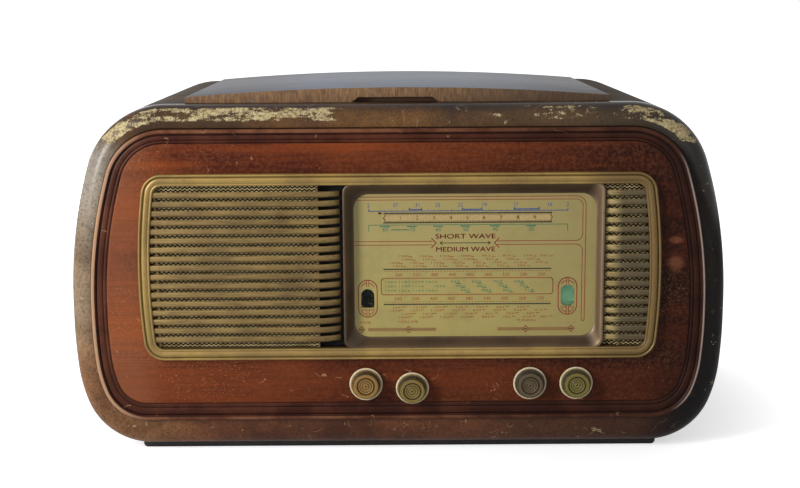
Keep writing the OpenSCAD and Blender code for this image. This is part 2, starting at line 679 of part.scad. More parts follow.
// Chassis and what stands on it
module chassis() color("#a8a495") difference() {
  box(chassis_x0, chassis_x1, chassis_y, chassis_y + chassis_d, floor_z, chassis_z);
  box(chassis_x0 + sheet_t, chassis_x1 - sheet_t, chassis_y + sheet_t, chassis_y + chassis_d - sheet_t,
    floor_z + sheet_t, chassis_z - sheet_t);
  box(chassis_x0 + 14, chassis_x1 - 14, chassis_y + sheet_t, chassis_y + chassis_d - sheet_t,
    floor_z - 1, floor_z + 3);
  for (x = [tone_x, tuning_x, band_x]) rod_y(x, knob_z, 4.9, chassis_y - 1, chassis_y + sheet_t + 1);
  rod_y(volume_x, knob_z, 6, chassis_y - 1, chassis_y + sheet_t + 1);
  for (v = valve_spots) rod_z(v[0], chassis_y + v[1] - 20, valve_r - 1, chassis_z - 3, chassis_z + 1);
  for (x = [chassis_x0 + 7, chassis_x1 - 7], y = [chassis_y + 20, chassis_y + chassis_d - 20])
    rod_z(x, y, 2.1, floor_z - 1, floor_z + 3);
}
module machine_bolts() color("#8f8f8a") {
  for (x = [chassis_x0 + 7, chassis_x1 - 7], y = [chassis_y + 20, chassis_y + chassis_d - 20]) {
    rod_z(x, y, 2, -1, floor_z + 7);
    rod_z(x, y, 4.5, -3, 0);
    rod_z(x, y, 4, floor_z + sheet_t, floor_z + sheet_t + 3);
  }
  speaker_bolt_places() {
    along(4, field_y + 0.2, field_y + 2.5);
    along(2, field_y + 2, board_back_y + 7);
    along(4, board_back_y + 2, board_back_y + 5);
  }
}
module power_transformer() color("#3b3a38") {
  x = chassis_x1 - 42;
  y = chassis_y + chassis_d - 52;
  box(x - 34, x + 34, y - 22, y + 22, chassis_z, chassis_z + 58);
  box(x - 20, x + 20, y - 36, y + 36, chassis_z + 9, chassis_z + 49);
}
module output_transformer() color("#4a443c") {
  box(speaker_x - 24, speaker_x + 24, 60, 78, floor_z, floor_z + 40);
  box(speaker_x - 14, speaker_x + 14, 50, 88, floor_z + 7, floor_z + 33);
}
module valve_bases() color("#2a211c")
  for (v = valve_spots) {
    rod_z(v[0], chassis_y + v[1] - 20, valve_r - 1.5, chassis_z - 8, chassis_z + 0.5);
    rod_z(v[0], chassis_y + v[1] - 20, valve_r + 2, chassis_z, chassis_z + 22);
  }
module valve_envelopes() color("#c9d0cc")
  for (v = valve_spots) translate([v[0], yo(chassis_y + v[1] - 20), zo(chassis_z + 22)])
    rotate_extrude() polygon(concat([[0, 0], [13, 0], [19, 18]],
      [for (a = [0:15:75]) [19 * cos(a), 44 + 19 * sin(a)]], [[4, 64], [3, 70], [0, 71]]));
module chassis_cans() color("#b8b8b2") {
  for (p = [[0.2, 112], [0.567, 130]]) let (x = across_chassis(p[0]))
    box(x - 14, x + 14, chassis_y + p[1] - 34, chassis_y + p[1] - 6, chassis_z, chassis_z + 62);
  for (x = [chassis_x1 - 22, chassis_x1 - 62]) rod_z(x, chassis_y + 42, 15, chassis_z, chassis_z + 70);
}

// Loudspeaker, modelled nose down and turned to face the front
module speaker_turned() translate([speaker_x, yo(board_back_y), zo(speaker_z)]) rotate([-90, 0, 0]) children();
module speaker_frame() color("#5c5f60") difference() {
  speaker_turned() rotate_extrude() polygon([[speaker_r - 12, 0], [speaker_r, 0], [speaker_r, 2],
    [speaker_r - 10, 2], [speaker_r - 16, 12], [32, 56], [32, 60], [16, 60], [16, 58.5], [30.5, 58.5],
    [30.5, 55.5], [speaker_r - 18, 11]]);
  speaker_bolt_places() along(2.1, board_back_y - 1, board_back_y + 3);
}
module speaker_cone() color("#3a332c") speaker_turned() rotate_extrude()
  polygon([[speaker_r - 13, 1], [speaker_r - 14, 3], [speaker_r - 20, 4], [15, 44], [15, 56], [13.8, 56],
    [13.8, 43], [speaker_r - 20.5, 2.6], [speaker_r - 14.5, 1.8]]);
module speaker_magnet() color("#30363a") speaker_turned() {
  translate([0, 0, 60]) cylinder(r = 36, h = 42);
  translate([0, 0, 46]) cylinder(r = 12.5, h = 15);
}

// Sockets on the back cover
socket_r = 2.05;
socket_outer_r = 4;
socket_z = 75;
socket_x = 64;
socket_pitch = 15;
pair_offset = 67;
socket_xs = [socket_x, socket_x + socket_pitch, socket_x + pair_offset, socket_x + pair_offset + socket_pitch];
selector_x = socket_x + (pair_offset + socket_pitch) / 2;
selector_r = 14;
plate_lap = 18;
plate_half_h = 27;
module terminal_plate() color("#8a5a2c") difference() {
  union() {
    box(socket_x - plate_lap, last(socket_xs) + plate_lap, back_y, back_y + 2,
      socket_z - plate_half_h, socket_z + plate_half_h);
    for (x = socket_xs) rod_y(x, socket_z, socket_outer_r, back_y - 12, back_y + eps);
    rod_y(selector_x, socket_z, selector_r + 3, back_y - 10, back_y + eps);
  }
  for (x = socket_xs) rod_y(x, socket_z, socket_r, back_y - 13, back_y + 3);
  rod_y(selector_x, socket_z, selector_r + fit_gap, back_y - 8, back_y + 3);
}
module voltage_plug() color("#2b2320") difference() {
  union() {
    rod_y(selector_x, socket_z, selector_r, back_y - 7.7, back_y + 2);
    box(selector_x - 2.5, selector_x + 2.5, back_y + 1, back_y + 4, socket_z - selector_r + 3, socket_z + selector_r - 3);
  }
  rod_y(selector_x, socket_z + 9, 1.2, back_y + 2, back_y + 5);
}
module mains_grommet() color("#1c1a19") difference() {
  union() {
    rod_y(-190, 40, 9, back_y, back_y + 2.5);
    rod_y(-190, 40, 5.9, back_y - cover_t - eps, back_y + eps);
    rod_y(-190, 40, 9, back_y - cover_t - 2.5, back_y - cover_t);
  }
  rod_y(-190, 40, 3.6, back_y - cover_t - 4, back_y + 4);
}

// Record player
module turntable_motor() color("#4b5a55") difference() {
  union() {
    rod_z(spindle_x, spindle_y, 42, deck_z - deck_t - 50, deck_z - deck_t);
    rod_z(spindle_x, spindle_y, 11.8, deck_z - deck_t - 1, deck_z + 1);
    rod_z(spindle_x, spindle_y, 30, deck_z - deck_t - 58, deck_z - deck_t - 49);
  }
  rod_z(spindle_x, spindle_y, 5 + fit_gap, deck_z - 40, deck_z + 2);
}
module spindle() color("#d5d5d0") {
  boss_z = deck_z + platter_h + mat_t - 0.2;
  rod_z(spindle_x, spindle_y, 5, deck_z - 36, boss_z);
  rod_z(spindle_x, spindle_y, spindle_d / 2, boss_z - 1, deck_z + platter_h + mat_t + 11);
  translate([spindle_x, yo(spindle_y), zo(deck_z + platter_h + mat_t + 11)]) sphere(spindle_d / 2);
}
module platter() color("#8d8f8c") translate([spindle_x, yo(spindle_y), zo(deck_z)]) rotate_extrude()
  polygon([[5, 4], [14, 4], [16, platter_h - 6], [platter_r - 6, platter_h - 5], [platter_r - 5, 7],
    [platter_r, 6], [platter_r, platter_h - 1], [platter_r - 1, platter_h], [9, platter_h],
    [9, platter_h - 2], [5, platter_h - 2]]);
module platter_mat() color("#3c2a24") translate([spindle_x, yo(spindle_y), zo(deck_z + platter_h)])
  difference() {
    cylinder(r = platter_r - 4, h = mat_t);
    translate([0, 0, -1]) cylinder(r = 5.3, h = mat_t + 2);
  }
module arm_supports() color("#3d3632") {
  difference() {
    union() {
      rod_z(arm_x, arm_y, 20, deck_z, deck_z + 5);
      rod_z(arm_x, arm_y, 13, deck_z + 4, deck_z + 22);
    }
    rod_z(arm_x, arm_y, 5 + fit_gap, deck_z + 6, deck_z + 24);
  }
  rod_z(arm_x, arm_y - 150, 9, deck_z, deck_z + 3);
  rod_z(arm_x, arm_y - 150, 4, deck_z + 2, arm_z - arm_d / 2 - 3);
  box(arm_x - 6, arm_x + 9, arm_y - 156, arm_y - 144, arm_z - arm_d / 2 - 3.5, arm_z - arm_d / 2 - 0.4);
  box(arm_x + arm_d / 2 + 0.8, arm_x + 9, arm_y - 156, arm_y - 144, arm_z - arm_d / 2 - 1, arm_z + 1);
}
module arm_swivel() color("#8f8778") difference() {
  union() {
    rod_z(arm_x, arm_y, 5, deck_z + 8, arm_z - 11);
    rod_z(arm_x, arm_y, 14, deck_z + 22.4, arm_z - 10);
    for (s = [-1, 1])
      box(arm_x + s * 11 - 2, arm_x + s * 11 + 2, arm_y - 6, arm_y + 6, arm_z - 11, arm_z + 5);
  }
  rod_x(arm_y, arm_z, 2, arm_x - 15, arm_x + 15);
}
module tonearm() color("#6b5a48") {
  rod_x(arm_y, arm_z, 2 - fit_gap, arm_x - 13, arm_x + 13);
  rod_x(arm_y, arm_z, 8, arm_x - 8.6, arm_x + 8.6);
  rod_y(arm_x, arm_z, arm_d / 2, arm_y - arm_l + 24, arm_y);
  rod_y(arm_x, arm_z, 5, arm_y, arm_y + 22);
  rod_y(arm_x, arm_z, 7.5, arm_y + 12, arm_y + 30);
}
module pickup_head() color("#4a2e22") {
  y = arm_y - arm_l;
  difference() {
    hull() {
      box(arm_x - 7, arm_x + 7, y + 20, y + 30, arm_z - 6, arm_z + 6);
      box(arm_x - 11, arm_x + 11, y - 8, y + 14, arm_z - 8, arm_z + 5);
      box(arm_x - 7, arm_x + 7, y - 14, y - 8, arm_z - 7, arm_z + 2);
    }
    rod_y(arm_x, arm_z, arm_d / 2 + fit_gap, y + 23.9, y + 31);
  }
  rod_z(arm_x, y, 0.7, deck_z + platter_h + mat_t + 2.5, arm_z - 7.9);
  rod_z(arm_x, y, 2, arm_z - 9, arm_z - 7.9);
}

// Lid and hinges
lid_steps = 12;
lid_section = concat([[-lid_w / 2, zo(top_z)], [lid_w / 2, zo(top_z)]],
  [for (i = [lid_steps:-1:-lid_steps]) let (t = i / lid_steps)
    [t * lid_w / 2, zo(top_z + lid_end_t + lid_crown * (1 - t * t))]]);
module lid_board() color("#7a6650") difference() {
  prism(lid_y, lid_back_y) polygon(lid_section);
  translate([notch_x, 0, 0]) prism(lid_y - 1, lid_y + notch_depth)
    polygon([[-notch_w / 2, zo(top_z - 1)], [notch_w / 2, zo(top_z - 1)],
      [notch_w / 2 - notch_slope, zo(top_z + notch_h)], [notch_slope - notch_w / 2, zo(top_z + notch_h)]]);
  for (s = [-1, 1])
    box(s * hinge_x - hinge_w / 2 - 0.5, s * hinge_x + hinge_w / 2 + 0.5, lid_back_y - 24, lid_back_y + 1,
      top_z - 1, top_z + 2.2);
}
module knuckles(which) {
  n = 5;
  step = hinge_w / n;
  for (s = [-1, 1], i = which)
    rod_x(hinge_y, hinge_z, hinge_r, s * hinge_x - hinge_w / 2 + i * step + 0.15,
      s * hinge_x - hinge_w / 2 + (i + 1) * step - 0.15);
}
module hinge_fixed_leaves() color("#a08a4c") {
  knuckles([0, 2, 4]);
  for (s = [-1, 1]) {
    box(s * hinge_x - hinge_w / 2, s * hinge_x + hinge_w / 2, hinge_y + 4, hinge_y + 24, top_z, top_z + leaf_t);
    for (i = [0, 2, 4])
      box(s * hinge_x - hinge_w / 2 + i * hinge_w / 5 + 0.15,
        s * hinge_x - hinge_w / 2 + (i + 1) * hinge_w / 5 - 0.15, hinge_y, hinge_y + 5, top_z, top_z + leaf_t);
    rod_x(hinge_y, hinge_z, hinge_pin_r, s * hinge_x - hinge_w / 2, s * hinge_x + hinge_w / 2);
  }
}
module hinge_moving_leaves() color("#a08a4c") difference() {
  union() {
    knuckles([1, 3]);
    for (s = [-1, 1]) {
      box(s * hinge_x - hinge_w / 2, s * hinge_x + hinge_w / 2, lid_back_y - 23, hinge_y - 4, top_z + 0.3, top_z + 0.3 + leaf_t);
      for (i = [1, 3])
        box(s * hinge_x - hinge_w / 2 + i * hinge_w / 5 + 0.15,
          s * hinge_x - hinge_w / 2 + (i + 1) * hinge_w / 5 - 0.15, hinge_y - 5, hinge_y, top_z + 0.3,
          top_z + 0.3 + leaf_t);
    }
  }
  for (s = [-1, 1])
    rod_x(hinge_y, hinge_z, hinge_pin_r + fit_gap, s * hinge_x - hinge_w / 2 - 1, s * hinge_x + hinge_w / 2 + 1);
}

cabinet_shell();
front_rim();
front_panel();
base_runners();
well_frame();
deck_board();
wood_screws();
back_cover();
escutcheon();
left_grille();
right_grille();
grille_mesh();
dial_glass();
dial_backplate();
dial_lamps();
pointer_rail();
chassis();
machine_bolts();
power_transformer();
output_transformer();
valve_bases();
valve_envelopes();
chassis_cans();
tuning_capacitor_frame();
speaker_frame();
speaker_cone();
speaker_magnet();
tone_control();
volume_control();
band_switch();
tuning_bush();
terminal_plate();
mains_grommet();
turntable_motor();
arm_supports();
hinge_fixed_leaves();
dial_cords();
lid_board();
hinge_moving_leaves();
platter();
platter_mat();
spindle();
arm_swivel();
tonearm();
pickup_head();
tone_knob();
volume_knob();
tuning_knob();
band_knob();
tone_shaft();
volume_shaft();
tuning_shaft();
band_shaft();
pointer();
tuning_rotor();
idler_left();
idler_right();
tone_flag();
band_flag();
voltage_plug();
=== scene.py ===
"""Dresses a table radio receiver, with a record player under its lid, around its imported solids."""

import json
import logging
import math
from dataclasses import dataclass
from enum import Enum
from functools import cached_property
from typing import Any

import bmesh
import bpy
from mathutils import Matrix, Vector

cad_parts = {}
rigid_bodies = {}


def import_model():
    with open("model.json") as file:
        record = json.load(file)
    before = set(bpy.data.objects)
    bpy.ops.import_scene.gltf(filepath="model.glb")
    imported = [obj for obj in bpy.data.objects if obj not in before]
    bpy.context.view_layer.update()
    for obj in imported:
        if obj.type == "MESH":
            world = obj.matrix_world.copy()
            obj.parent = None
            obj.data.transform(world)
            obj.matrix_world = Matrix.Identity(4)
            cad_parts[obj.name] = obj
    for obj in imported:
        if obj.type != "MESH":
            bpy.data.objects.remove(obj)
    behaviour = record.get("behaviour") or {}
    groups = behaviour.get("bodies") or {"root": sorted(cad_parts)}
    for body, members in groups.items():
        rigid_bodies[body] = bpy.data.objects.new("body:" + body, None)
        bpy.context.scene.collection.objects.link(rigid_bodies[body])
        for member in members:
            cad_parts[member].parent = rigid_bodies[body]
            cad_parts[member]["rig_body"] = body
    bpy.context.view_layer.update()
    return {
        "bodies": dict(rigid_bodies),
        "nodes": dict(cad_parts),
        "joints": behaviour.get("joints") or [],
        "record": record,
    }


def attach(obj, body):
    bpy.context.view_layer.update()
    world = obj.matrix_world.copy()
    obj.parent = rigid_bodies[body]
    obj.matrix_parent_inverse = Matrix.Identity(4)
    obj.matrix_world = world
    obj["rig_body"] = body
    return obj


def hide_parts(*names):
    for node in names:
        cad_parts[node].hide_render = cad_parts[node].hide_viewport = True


LOG = logging.getLogger("radio_receiver")

# Millimetres to metres: sizes are in millimetres, but the places that a finish reads are in metres
MM = 0.001
# Where the front moulding begins, on the model's Y axis
PLANE_Y = -176.595
# Height of the runners under the cabinet
RUNNER_H = 7.0
# From one slat of a louvre to the next
SLAT_PITCH = 9.0
# How far each knob is from the middle, from the left to the right, and the height of them all
KNOB_PLACES = (-32.7, 13.3, 130.1, 176.1)
KNOB_Z = 66.0
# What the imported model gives: its nodes and its record
FRAME: dict[str, Any] = {}

Point = tuple[float, float]
Triple = tuple[float, float, float]


def spot(x: float, y: float, z: float) -> Vector:
    """Turns a place on the cabinet into the model's frame.

    Args:
        x: Distance to the right of the middle, in millimetres.
        y: Depth behind the plane where the front moulding begins.
        z: Height over the cabinet's bottom.

    Returns:
        The same place in metres.
    """
    return Vector((x * MM, (PLANE_Y + y) * MM, (RUNNER_H + z) * MM))


def tint(code: str) -> tuple[float, float, float, float]:
    """Turns a colour written as six hexadecimal digits into a linear colour.

    Args:
        code: The colour as it would look on a screen.

    Returns:
        Red, green, blue and an alpha of one.
    """
    shares = [int(code[i : i + 2], 16) / 255 for i in (0, 2, 4)]
    linear = [s / 12.92 if s <= 0.04045 else ((s + 0.055) / 1.055) ** 2.4 for s in shares]
    return (linear[0], linear[1], linear[2], 1.0)


# Mesh making


def ring_points(outline: list[Point], y: float) -> list[Vector]:
    """Sets a flat outline up at one depth.

    Args:
        outline: Points across and up, in millimetres.
        y: Depth of the ring.

    Returns:
        The ring's points in the model's frame.
    """
    return [spot(x, y, z) for x, z in outline]


def skin(rings: list[list[Vector]], edge: list[float], tube: bool, capped: bool) -> bmesh.types.BMesh:
    """Draws a skin over a row of rings that have the same number of points.

    Args:
        rings: The rings, in order.
        edge: For each ring, the value that its points carry for the finish.
        tube: Whether the last ring joins the first.
        capped: Whether the two ends are closed by flat faces.

    Returns:
        The new mesh, with its faces turned outwards.
    """
    bm = bmesh.new()
    index = bm.verts.layers.int.new("ring_index")
    worn = bm.verts.layers.float.new("edge")
    first = [bm.verts.new(p) for p in rings[0]]
    for i, vert in enumerate(first):
        vert[index] = i
        vert[worn] = edge[0]
    edges = [bm.edges.new((first[i], first[(i + 1) % len(first)])) for i in range(len(first))]
    start = list(edges)
    rows = list(zip(rings[1:], edge[1:]))
    if tube:
        rows.append((rings[0], edge[0]))
    for points, value in rows:
        made = bmesh.ops.extrude_edge_only(bm, edges=edges)["geom"]
        for vert in [g for g in made if isinstance(g, bmesh.types.BMVert)]:
            vert.co = points[vert[index]]
            vert[worn] = value
        edges = [g for g in made if isinstance(g, bmesh.types.BMEdge) and g.is_boundary]
    if tube:
        bmesh.ops.remove_doubles(bm, verts=bm.verts, dist=1e-6)
    if capped:
        bmesh.ops.edgeloop_fill(bm, edges=start)
        bmesh.ops.edgeloop_fill(bm, edges=edges)
    bmesh.ops.recalc_face_normals(bm, faces=bm.faces)
    return bm


def turned(profile: list[Point], steps: int) -> bmesh.types.BMesh:
    """Turns a profile round the Y axis, as on a lathe.

    Args:
        profile: Radius and place along the axis, in millimetres; the radius is zero at open ends.
        steps: Number of steps round the axis.

    Returns:
        The turned mesh, in metres.
    """
    bm = bmesh.new()
    verts = [bm.verts.new((r * MM, y * MM, 0)) for r, y in profile]
    edges = [bm.edges.new(pair) for pair in zip(verts, verts[1:])]
    bmesh.ops.spin(
        bm,
        geom=verts + edges,
        cent=(0, 0, 0),
        axis=(0, 1, 0),
        dvec=(0, 0, 0),
        angle=math.tau,
        steps=steps,
        use_merge=True,
        use_duplicate=False,
    )
    bmesh.ops.remove_doubles(bm, verts=bm.verts, dist=1e-6)
    bmesh.ops.recalc_face_normals(bm, faces=bm.faces)
    return bm


def block(low: Vector, high: Vector) -> bmesh.types.BMesh:
    """Makes a plain box between two corners.

    Args:
        low: The lowest corner.
        high: The highest corner.

    Returns:
        The box's mesh.
    """
    bm = bmesh.new()
    bmesh.ops.create_cube(bm, size=1)
    bmesh.ops.scale(bm, vec=high - low, verts=bm.verts)
    bmesh.ops.translate(bm, vec=(low + high) / 2, verts=bm.verts)
    return bm


def plate(outline: list[Point], front: float, back: float) -> bmesh.types.BMesh:
    """Makes a flat piece with one outline through its thickness.

    Args:
        outline: Points across and up, in millimetres.
        front: Depth of its front face.
        back: Depth of its back face.

    Returns:
        The closed mesh.
    """
    return skin([ring_points(outline, front), ring_points(outline, back)], [0, 0], False, True)


def round_box(x0: float, x1: float, z0: float, z1: float, r: float, steps: int = 8) -> list[Point]:
    """Draws a rectangle with round corners.

    Args:
        x0: Left side.
        x1: Right side.
        z0: Bottom.
        z1: Top.
        r: Radius of the corners.
        steps: Steps of each corner.

    Returns:
        The outline, anticlockwise.
    """
    corners = ((x1 - r, z0 + r, -90), (x1 - r, z1 - r, 0), (x0 + r, z1 - r, 90), (x0 + r, z0 + r, 180))
    points = []
    for x, z, begin in corners:
        for i in range(steps + 1):
            a = math.radians(begin + 90 * i / steps)
            points.append((x + r * math.cos(a), z + r * math.sin(a)))
    return points


def disc(x: float, z: float, r: float, steps: int = 40) -> list[Point]:
    """Draws a circle.

    Args:
        x: Middle, across.
        z: Middle, up.
        r: Radius.
        steps: Number of steps.

    Returns:
        The outline, anticlockwise.
    """
    turns = [math.tau * i / steps for i in range(steps)]
    return [(x + r * math.cos(a), z + r * math.sin(a)) for a in turns]


def soften(bm: bmesh.types.BMesh, width: float, angle: float = 30, segments: int = 2) -> None:
    """Rounds the sharp edges of a mesh.

    Args:
        bm: The mesh, changed in place.
        width: Width of the rounding, in millimetres.
        angle: Least angle between two faces at an edge that is rounded.
        segments: Steps of the rounding.
    """
    sharp = [e for e in bm.edges if e.is_manifold and e.calc_face_angle(0) > math.radians(angle)]
    bmesh.ops.bevel(
        bm,
        geom=sharp,
        offset=width * MM,
        segments=segments,
        profile=0.5,
        affect="EDGES",
        clamp_overlap=True,
        material=-1,
    )


def turn(bm: bmesh.types.BMesh, angle: float, axis: str) -> None:
    """Turns a mesh round the origin.

    Args:
        bm: The mesh, changed in place.
        angle: The angle, in radians.
        axis: The axis that it turns round: X, Y or Z.
    """
    bmesh.ops.rotate(bm, cent=(0, 0, 0), matrix=Matrix.Rotation(angle, 3, axis), verts=bm.verts)


def finish_piece(
    bm: bmesh.types.BMesh, name: str, material: bpy.types.Material, body: str, angle: float = 35
) -> bpy.types.Object:
    """Makes an object of a mesh, dresses it and sets it on its body.

    Args:
        bm: The mesh, which is freed.
        name: The piece's name.
        material: Its finish.
        body: The body that it rides on.
        angle: Least angle between two faces that meet in a sharp edge.

    Returns:
        The new piece.
    """
    for face in bm.faces:
        face.smooth = True
    for line in bm.edges:
        line.smooth = not (line.is_manifold and line.calc_face_angle(0) > math.radians(angle))
    mesh = bpy.data.meshes.new(name)
    bm.to_mesh(mesh)
    bm.free()
    piece = bpy.data.objects.new(name, mesh)
    bpy.context.scene.collection.objects.link(piece)
    mesh.materials.append(material)
    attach(piece, body)
    LOG.info("%s: %d faces on %s", name, len(mesh.polygons), body)
    return piece


def carve(bm: bmesh.types.BMesh, cutters: list[bmesh.types.BMesh]) -> bmesh.types.BMesh:
    """Cuts shapes out of a mesh.

    Args:
        bm: The mesh, which is freed.
        cutters: Closed meshes to take away, which are freed.

    Returns:
        The mesh that is left.
    """
    scene = bpy.context.scene.collection
    objects = []
    for part in [bm, *cutters]:
        mesh = bpy.data.meshes.new("cut")
        part.to_mesh(mesh)
        part.free()
        objects.append(bpy.data.objects.new("cut", mesh))
        scene.objects.link(objects[-1])
    for cutter in objects[1:]:
        change = objects[0].modifiers.new("cut", "BOOLEAN")
        change.operation = "DIFFERENCE"
        change.solver = "EXACT"
        change.object = cutter
    bpy.context.view_layer.update()
    left = objects[0].evaluated_get(bpy.context.evaluated_depsgraph_get())
    result = bmesh.new()
    result.from_mesh(left.to_mesh())
    left.to_mesh_clear()
    for o in objects:
        bpy.data.objects.remove(o)
    return result


def merge(whole: bmesh.types.BMesh, part: bmesh.types.BMesh, place: Vector | Triple = (0, 0, 0)) -> None:
    """Adds a mesh to another at a place.

    Args:
        whole: The mesh that grows.
        part: The mesh that is added, which is freed.
        place: Where its origin goes, in metres.
    """
    bmesh.ops.translate(part, vec=place, verts=part.verts)
    mesh = bpy.data.meshes.new("part")
    part.to_mesh(mesh)
    part.free()
    whole.from_mesh(mesh)
    bpy.data.meshes.remove(mesh)


def slotted_screw(r: float, height: float, shank: float, shank_r: float, slot: float) -> bmesh.types.BMesh:
    """Makes a screw that points down, with a slot in its round head.

    Args:
        r: Radius of the head.
        height: Height of the head.
        shank: Length of the shank.
        shank_r: Radius of the shank.
        slot: Turn of the slot, in degrees.

    Returns:
        The screw, with the underside of its head at the origin.
    """
    profile = [(0, height), (r * 0.55, height * 0.95), (r * 0.85, height * 0.7), (r, height * 0.25), (r, 0)]
    profile += [(shank_r, 0), (shank_r, -shank * 0.8), (0, -shank)]
    screw = turned(profile, 20)
    turn(screw, math.pi / 2, "X")
    for side in (-1, 1):
        every = screw.verts[:] + screw.edges[:] + screw.faces[:]
        bmesh.ops.bisect_plane(screw, geom=every, plane_co=(side * 0.35 * MM, 0, 0), plane_no=(1, 0, 0))
    middle = [v for v in screw.verts if abs(v.co.x) < 0.36 * MM and v.co.z > height * 0.5 * MM]
    floor = [f for f in screw.faces if all(v in middle for v in f.verts)]
    bmesh.ops.inset_region(screw, faces=floor, thickness=0.02 * MM, depth=0)
    bmesh.ops.translate(screw, vec=(0, 0, -0.5 * MM), verts=list({v for f in floor for v in f.verts}))
    turn(screw, math.radians(slot), "Z")
    return screw


def dress(node: str, material: bpy.types.Material) -> None:
    """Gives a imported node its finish.

    Args:
        node: The node's name.
        material: Its finish.
    """
    o = FRAME["nodes"][node]
    o.data.materials.clear()
    o.data.materials.append(material)


def refined(nodes: list[str], material: bpy.types.Material, width: float, angle: float = 30) -> None:
    """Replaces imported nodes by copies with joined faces, rounded edges and smooth shading.

    Args:
        nodes: The nodes' names.
        material: Their finish.
        width: Width of the rounding, in millimetres, or zero for none.
        angle: Least angle at an edge that stays sharp or is rounded.
    """
    for name in nodes:
        source = FRAME["nodes"][name]
        bm = bmesh.new()
        bm.from_mesh(source.data)
        bmesh.ops.remove_doubles(bm, verts=bm.verts, dist=2e-6)
        bmesh.ops.dissolve_limit(
            bm, angle_limit=math.radians(0.4), use_dissolve_boundaries=False, verts=bm.verts, edges=bm.edges
        )
        if width:
            soften(bm, width, angle)
        piece = finish_piece(bm, name + "_finished", material, source["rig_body"], angle)
        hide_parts(name)


def bend_corners(points: list[Point], r: float) -> list[Point]:
    """Rounds the inner corners of a line.

    Args:
        points: The line's corners.
        r: Radius of the rounding.

    Returns:
        The rounded line.
    """
    path = [points[0]]
    for before, corner, after in zip(points, points[1:], points[2:]):
        a = Vector(before) - Vector(corner)
        b = Vector(after) - Vector(corner)
        a.normalize()
        b.normalize()
        centre = Vector(corner) + (a + b) * r
        begin = Vector(corner) + a * r - centre
        end = Vector(corner) + b * r - centre
        for i in range(7):
            t = math.pi / 2 * i / 6
            p = centre + begin * math.cos(t) + end * math.sin(t)
            path.append((p.x, p.y))
    path.append(points[-1])
    return path


def cord_path(wheels: list[Triple]) -> list[Point]:
    """Draws the tight line round the outside of some wheels.

    Args:
        wheels: For each wheel its middle, across and up, and its radius.

    Returns:
        The closed line.
    """
    steps = 720
    rim = []
    for i in range(steps):
        a = math.tau * i / steps
        reach = max((x * math.cos(a) + z * math.sin(a) + r, n) for n, (x, z, r) in enumerate(wheels))
        x, z, r = wheels[reach[1]]
        rim.append((x + r * math.cos(a), z + r * math.sin(a)))
    path = [rim[0]]
    for p in rim[1:]:
        if math.dist(p, path[-1]) > 1.2:
            path.append(p)
    return path


def round_loop(path: list[Vector], r: float) -> bmesh.types.BMesh:
    """Sweeps a round section along a closed line that lies at one depth.

    Args:
        path: The line.
        r: Radius of the section, in millimetres.

    Returns:
        The closed tube.
    """
    count = len(path)
    rings = []
    for side in range(6):
        a = math.tau * side / 6
        ring = []
        for i, p in enumerate(path):
            ahead = (path[(i + 1) % count] - path[i - 1]).normalized()
            out = Vector((ahead.z, 0, -ahead.x))
            ring.append(p + (out * math.cos(a) + Vector((0, 1, 0)) * math.sin(a)) * r * MM)
        rings.append(ring)
    return skin(rings, [0.0] * 6, True, False)


# Finishes


@dataclass(frozen=True)
class Value:
    """An output in a material, which formulas can use like a number."""

    recipe: "Recipe"
    socket: bpy.types.NodeSocket

    def __mul__(self, other: Any) -> "Value":
        """Multiplies it by a number or another output."""
        return self.recipe.math("MULTIPLY", self, other)

    def __truediv__(self, other: Any) -> "Value":
        """Divides it by a number or another output."""
        return self.recipe.math("DIVIDE", self, other)

    def __add__(self, other: Any) -> "Value":
        """Adds a number or another output to it."""
        return self.recipe.math("ADD", self, other)

    def __sub__(self, other: Any) -> "Value":
        """Takes a number or another output away from it."""
        return self.recipe.math("SUBTRACT", self, other)

    def __abs__(self) -> "Value":
        """Drops its sign."""
        return self.recipe.math("ABSOLUTE", self)

    def fraction(self) -> "Value":
        """Keeps what stands behind its decimal point."""
        return self.recipe.math("FRACT", self)

    def most(self, other: "Value", clamp: bool = False) -> "Value":
        """Takes the larger of it and another output."""
        return self.recipe.math("MAXIMUM", self, other, clamp)

    def level(self, low: float, high: float) -> "Value":
        """Turns it from a share into a value between two others."""
        return self * (high - low) + low

    def ramp(self, low: float, high: float) -> "Value":
        """Rises smoothly from zero where it is low to one where it is high.

        Args:
            low: Where the result is zero.
            high: Where the result is one.

        Returns:
            The result, from zero to one.
        """
        node = self.recipe.tree.nodes.new("ShaderNodeMapRange")
        node.interpolation_type = "SMOOTHSTEP"
        node.inputs["From Min"].default_value = min(low, high)
        node.inputs["From Max"].default_value = max(low, high)
        node.inputs["To Min"].default_value = 0 if low < high else 1
        node.inputs["To Max"].default_value = 1 if low < high else 0
        self.recipe.set(node.inputs["Value"], self)
        return Value(self.recipe, node.outputs[0])


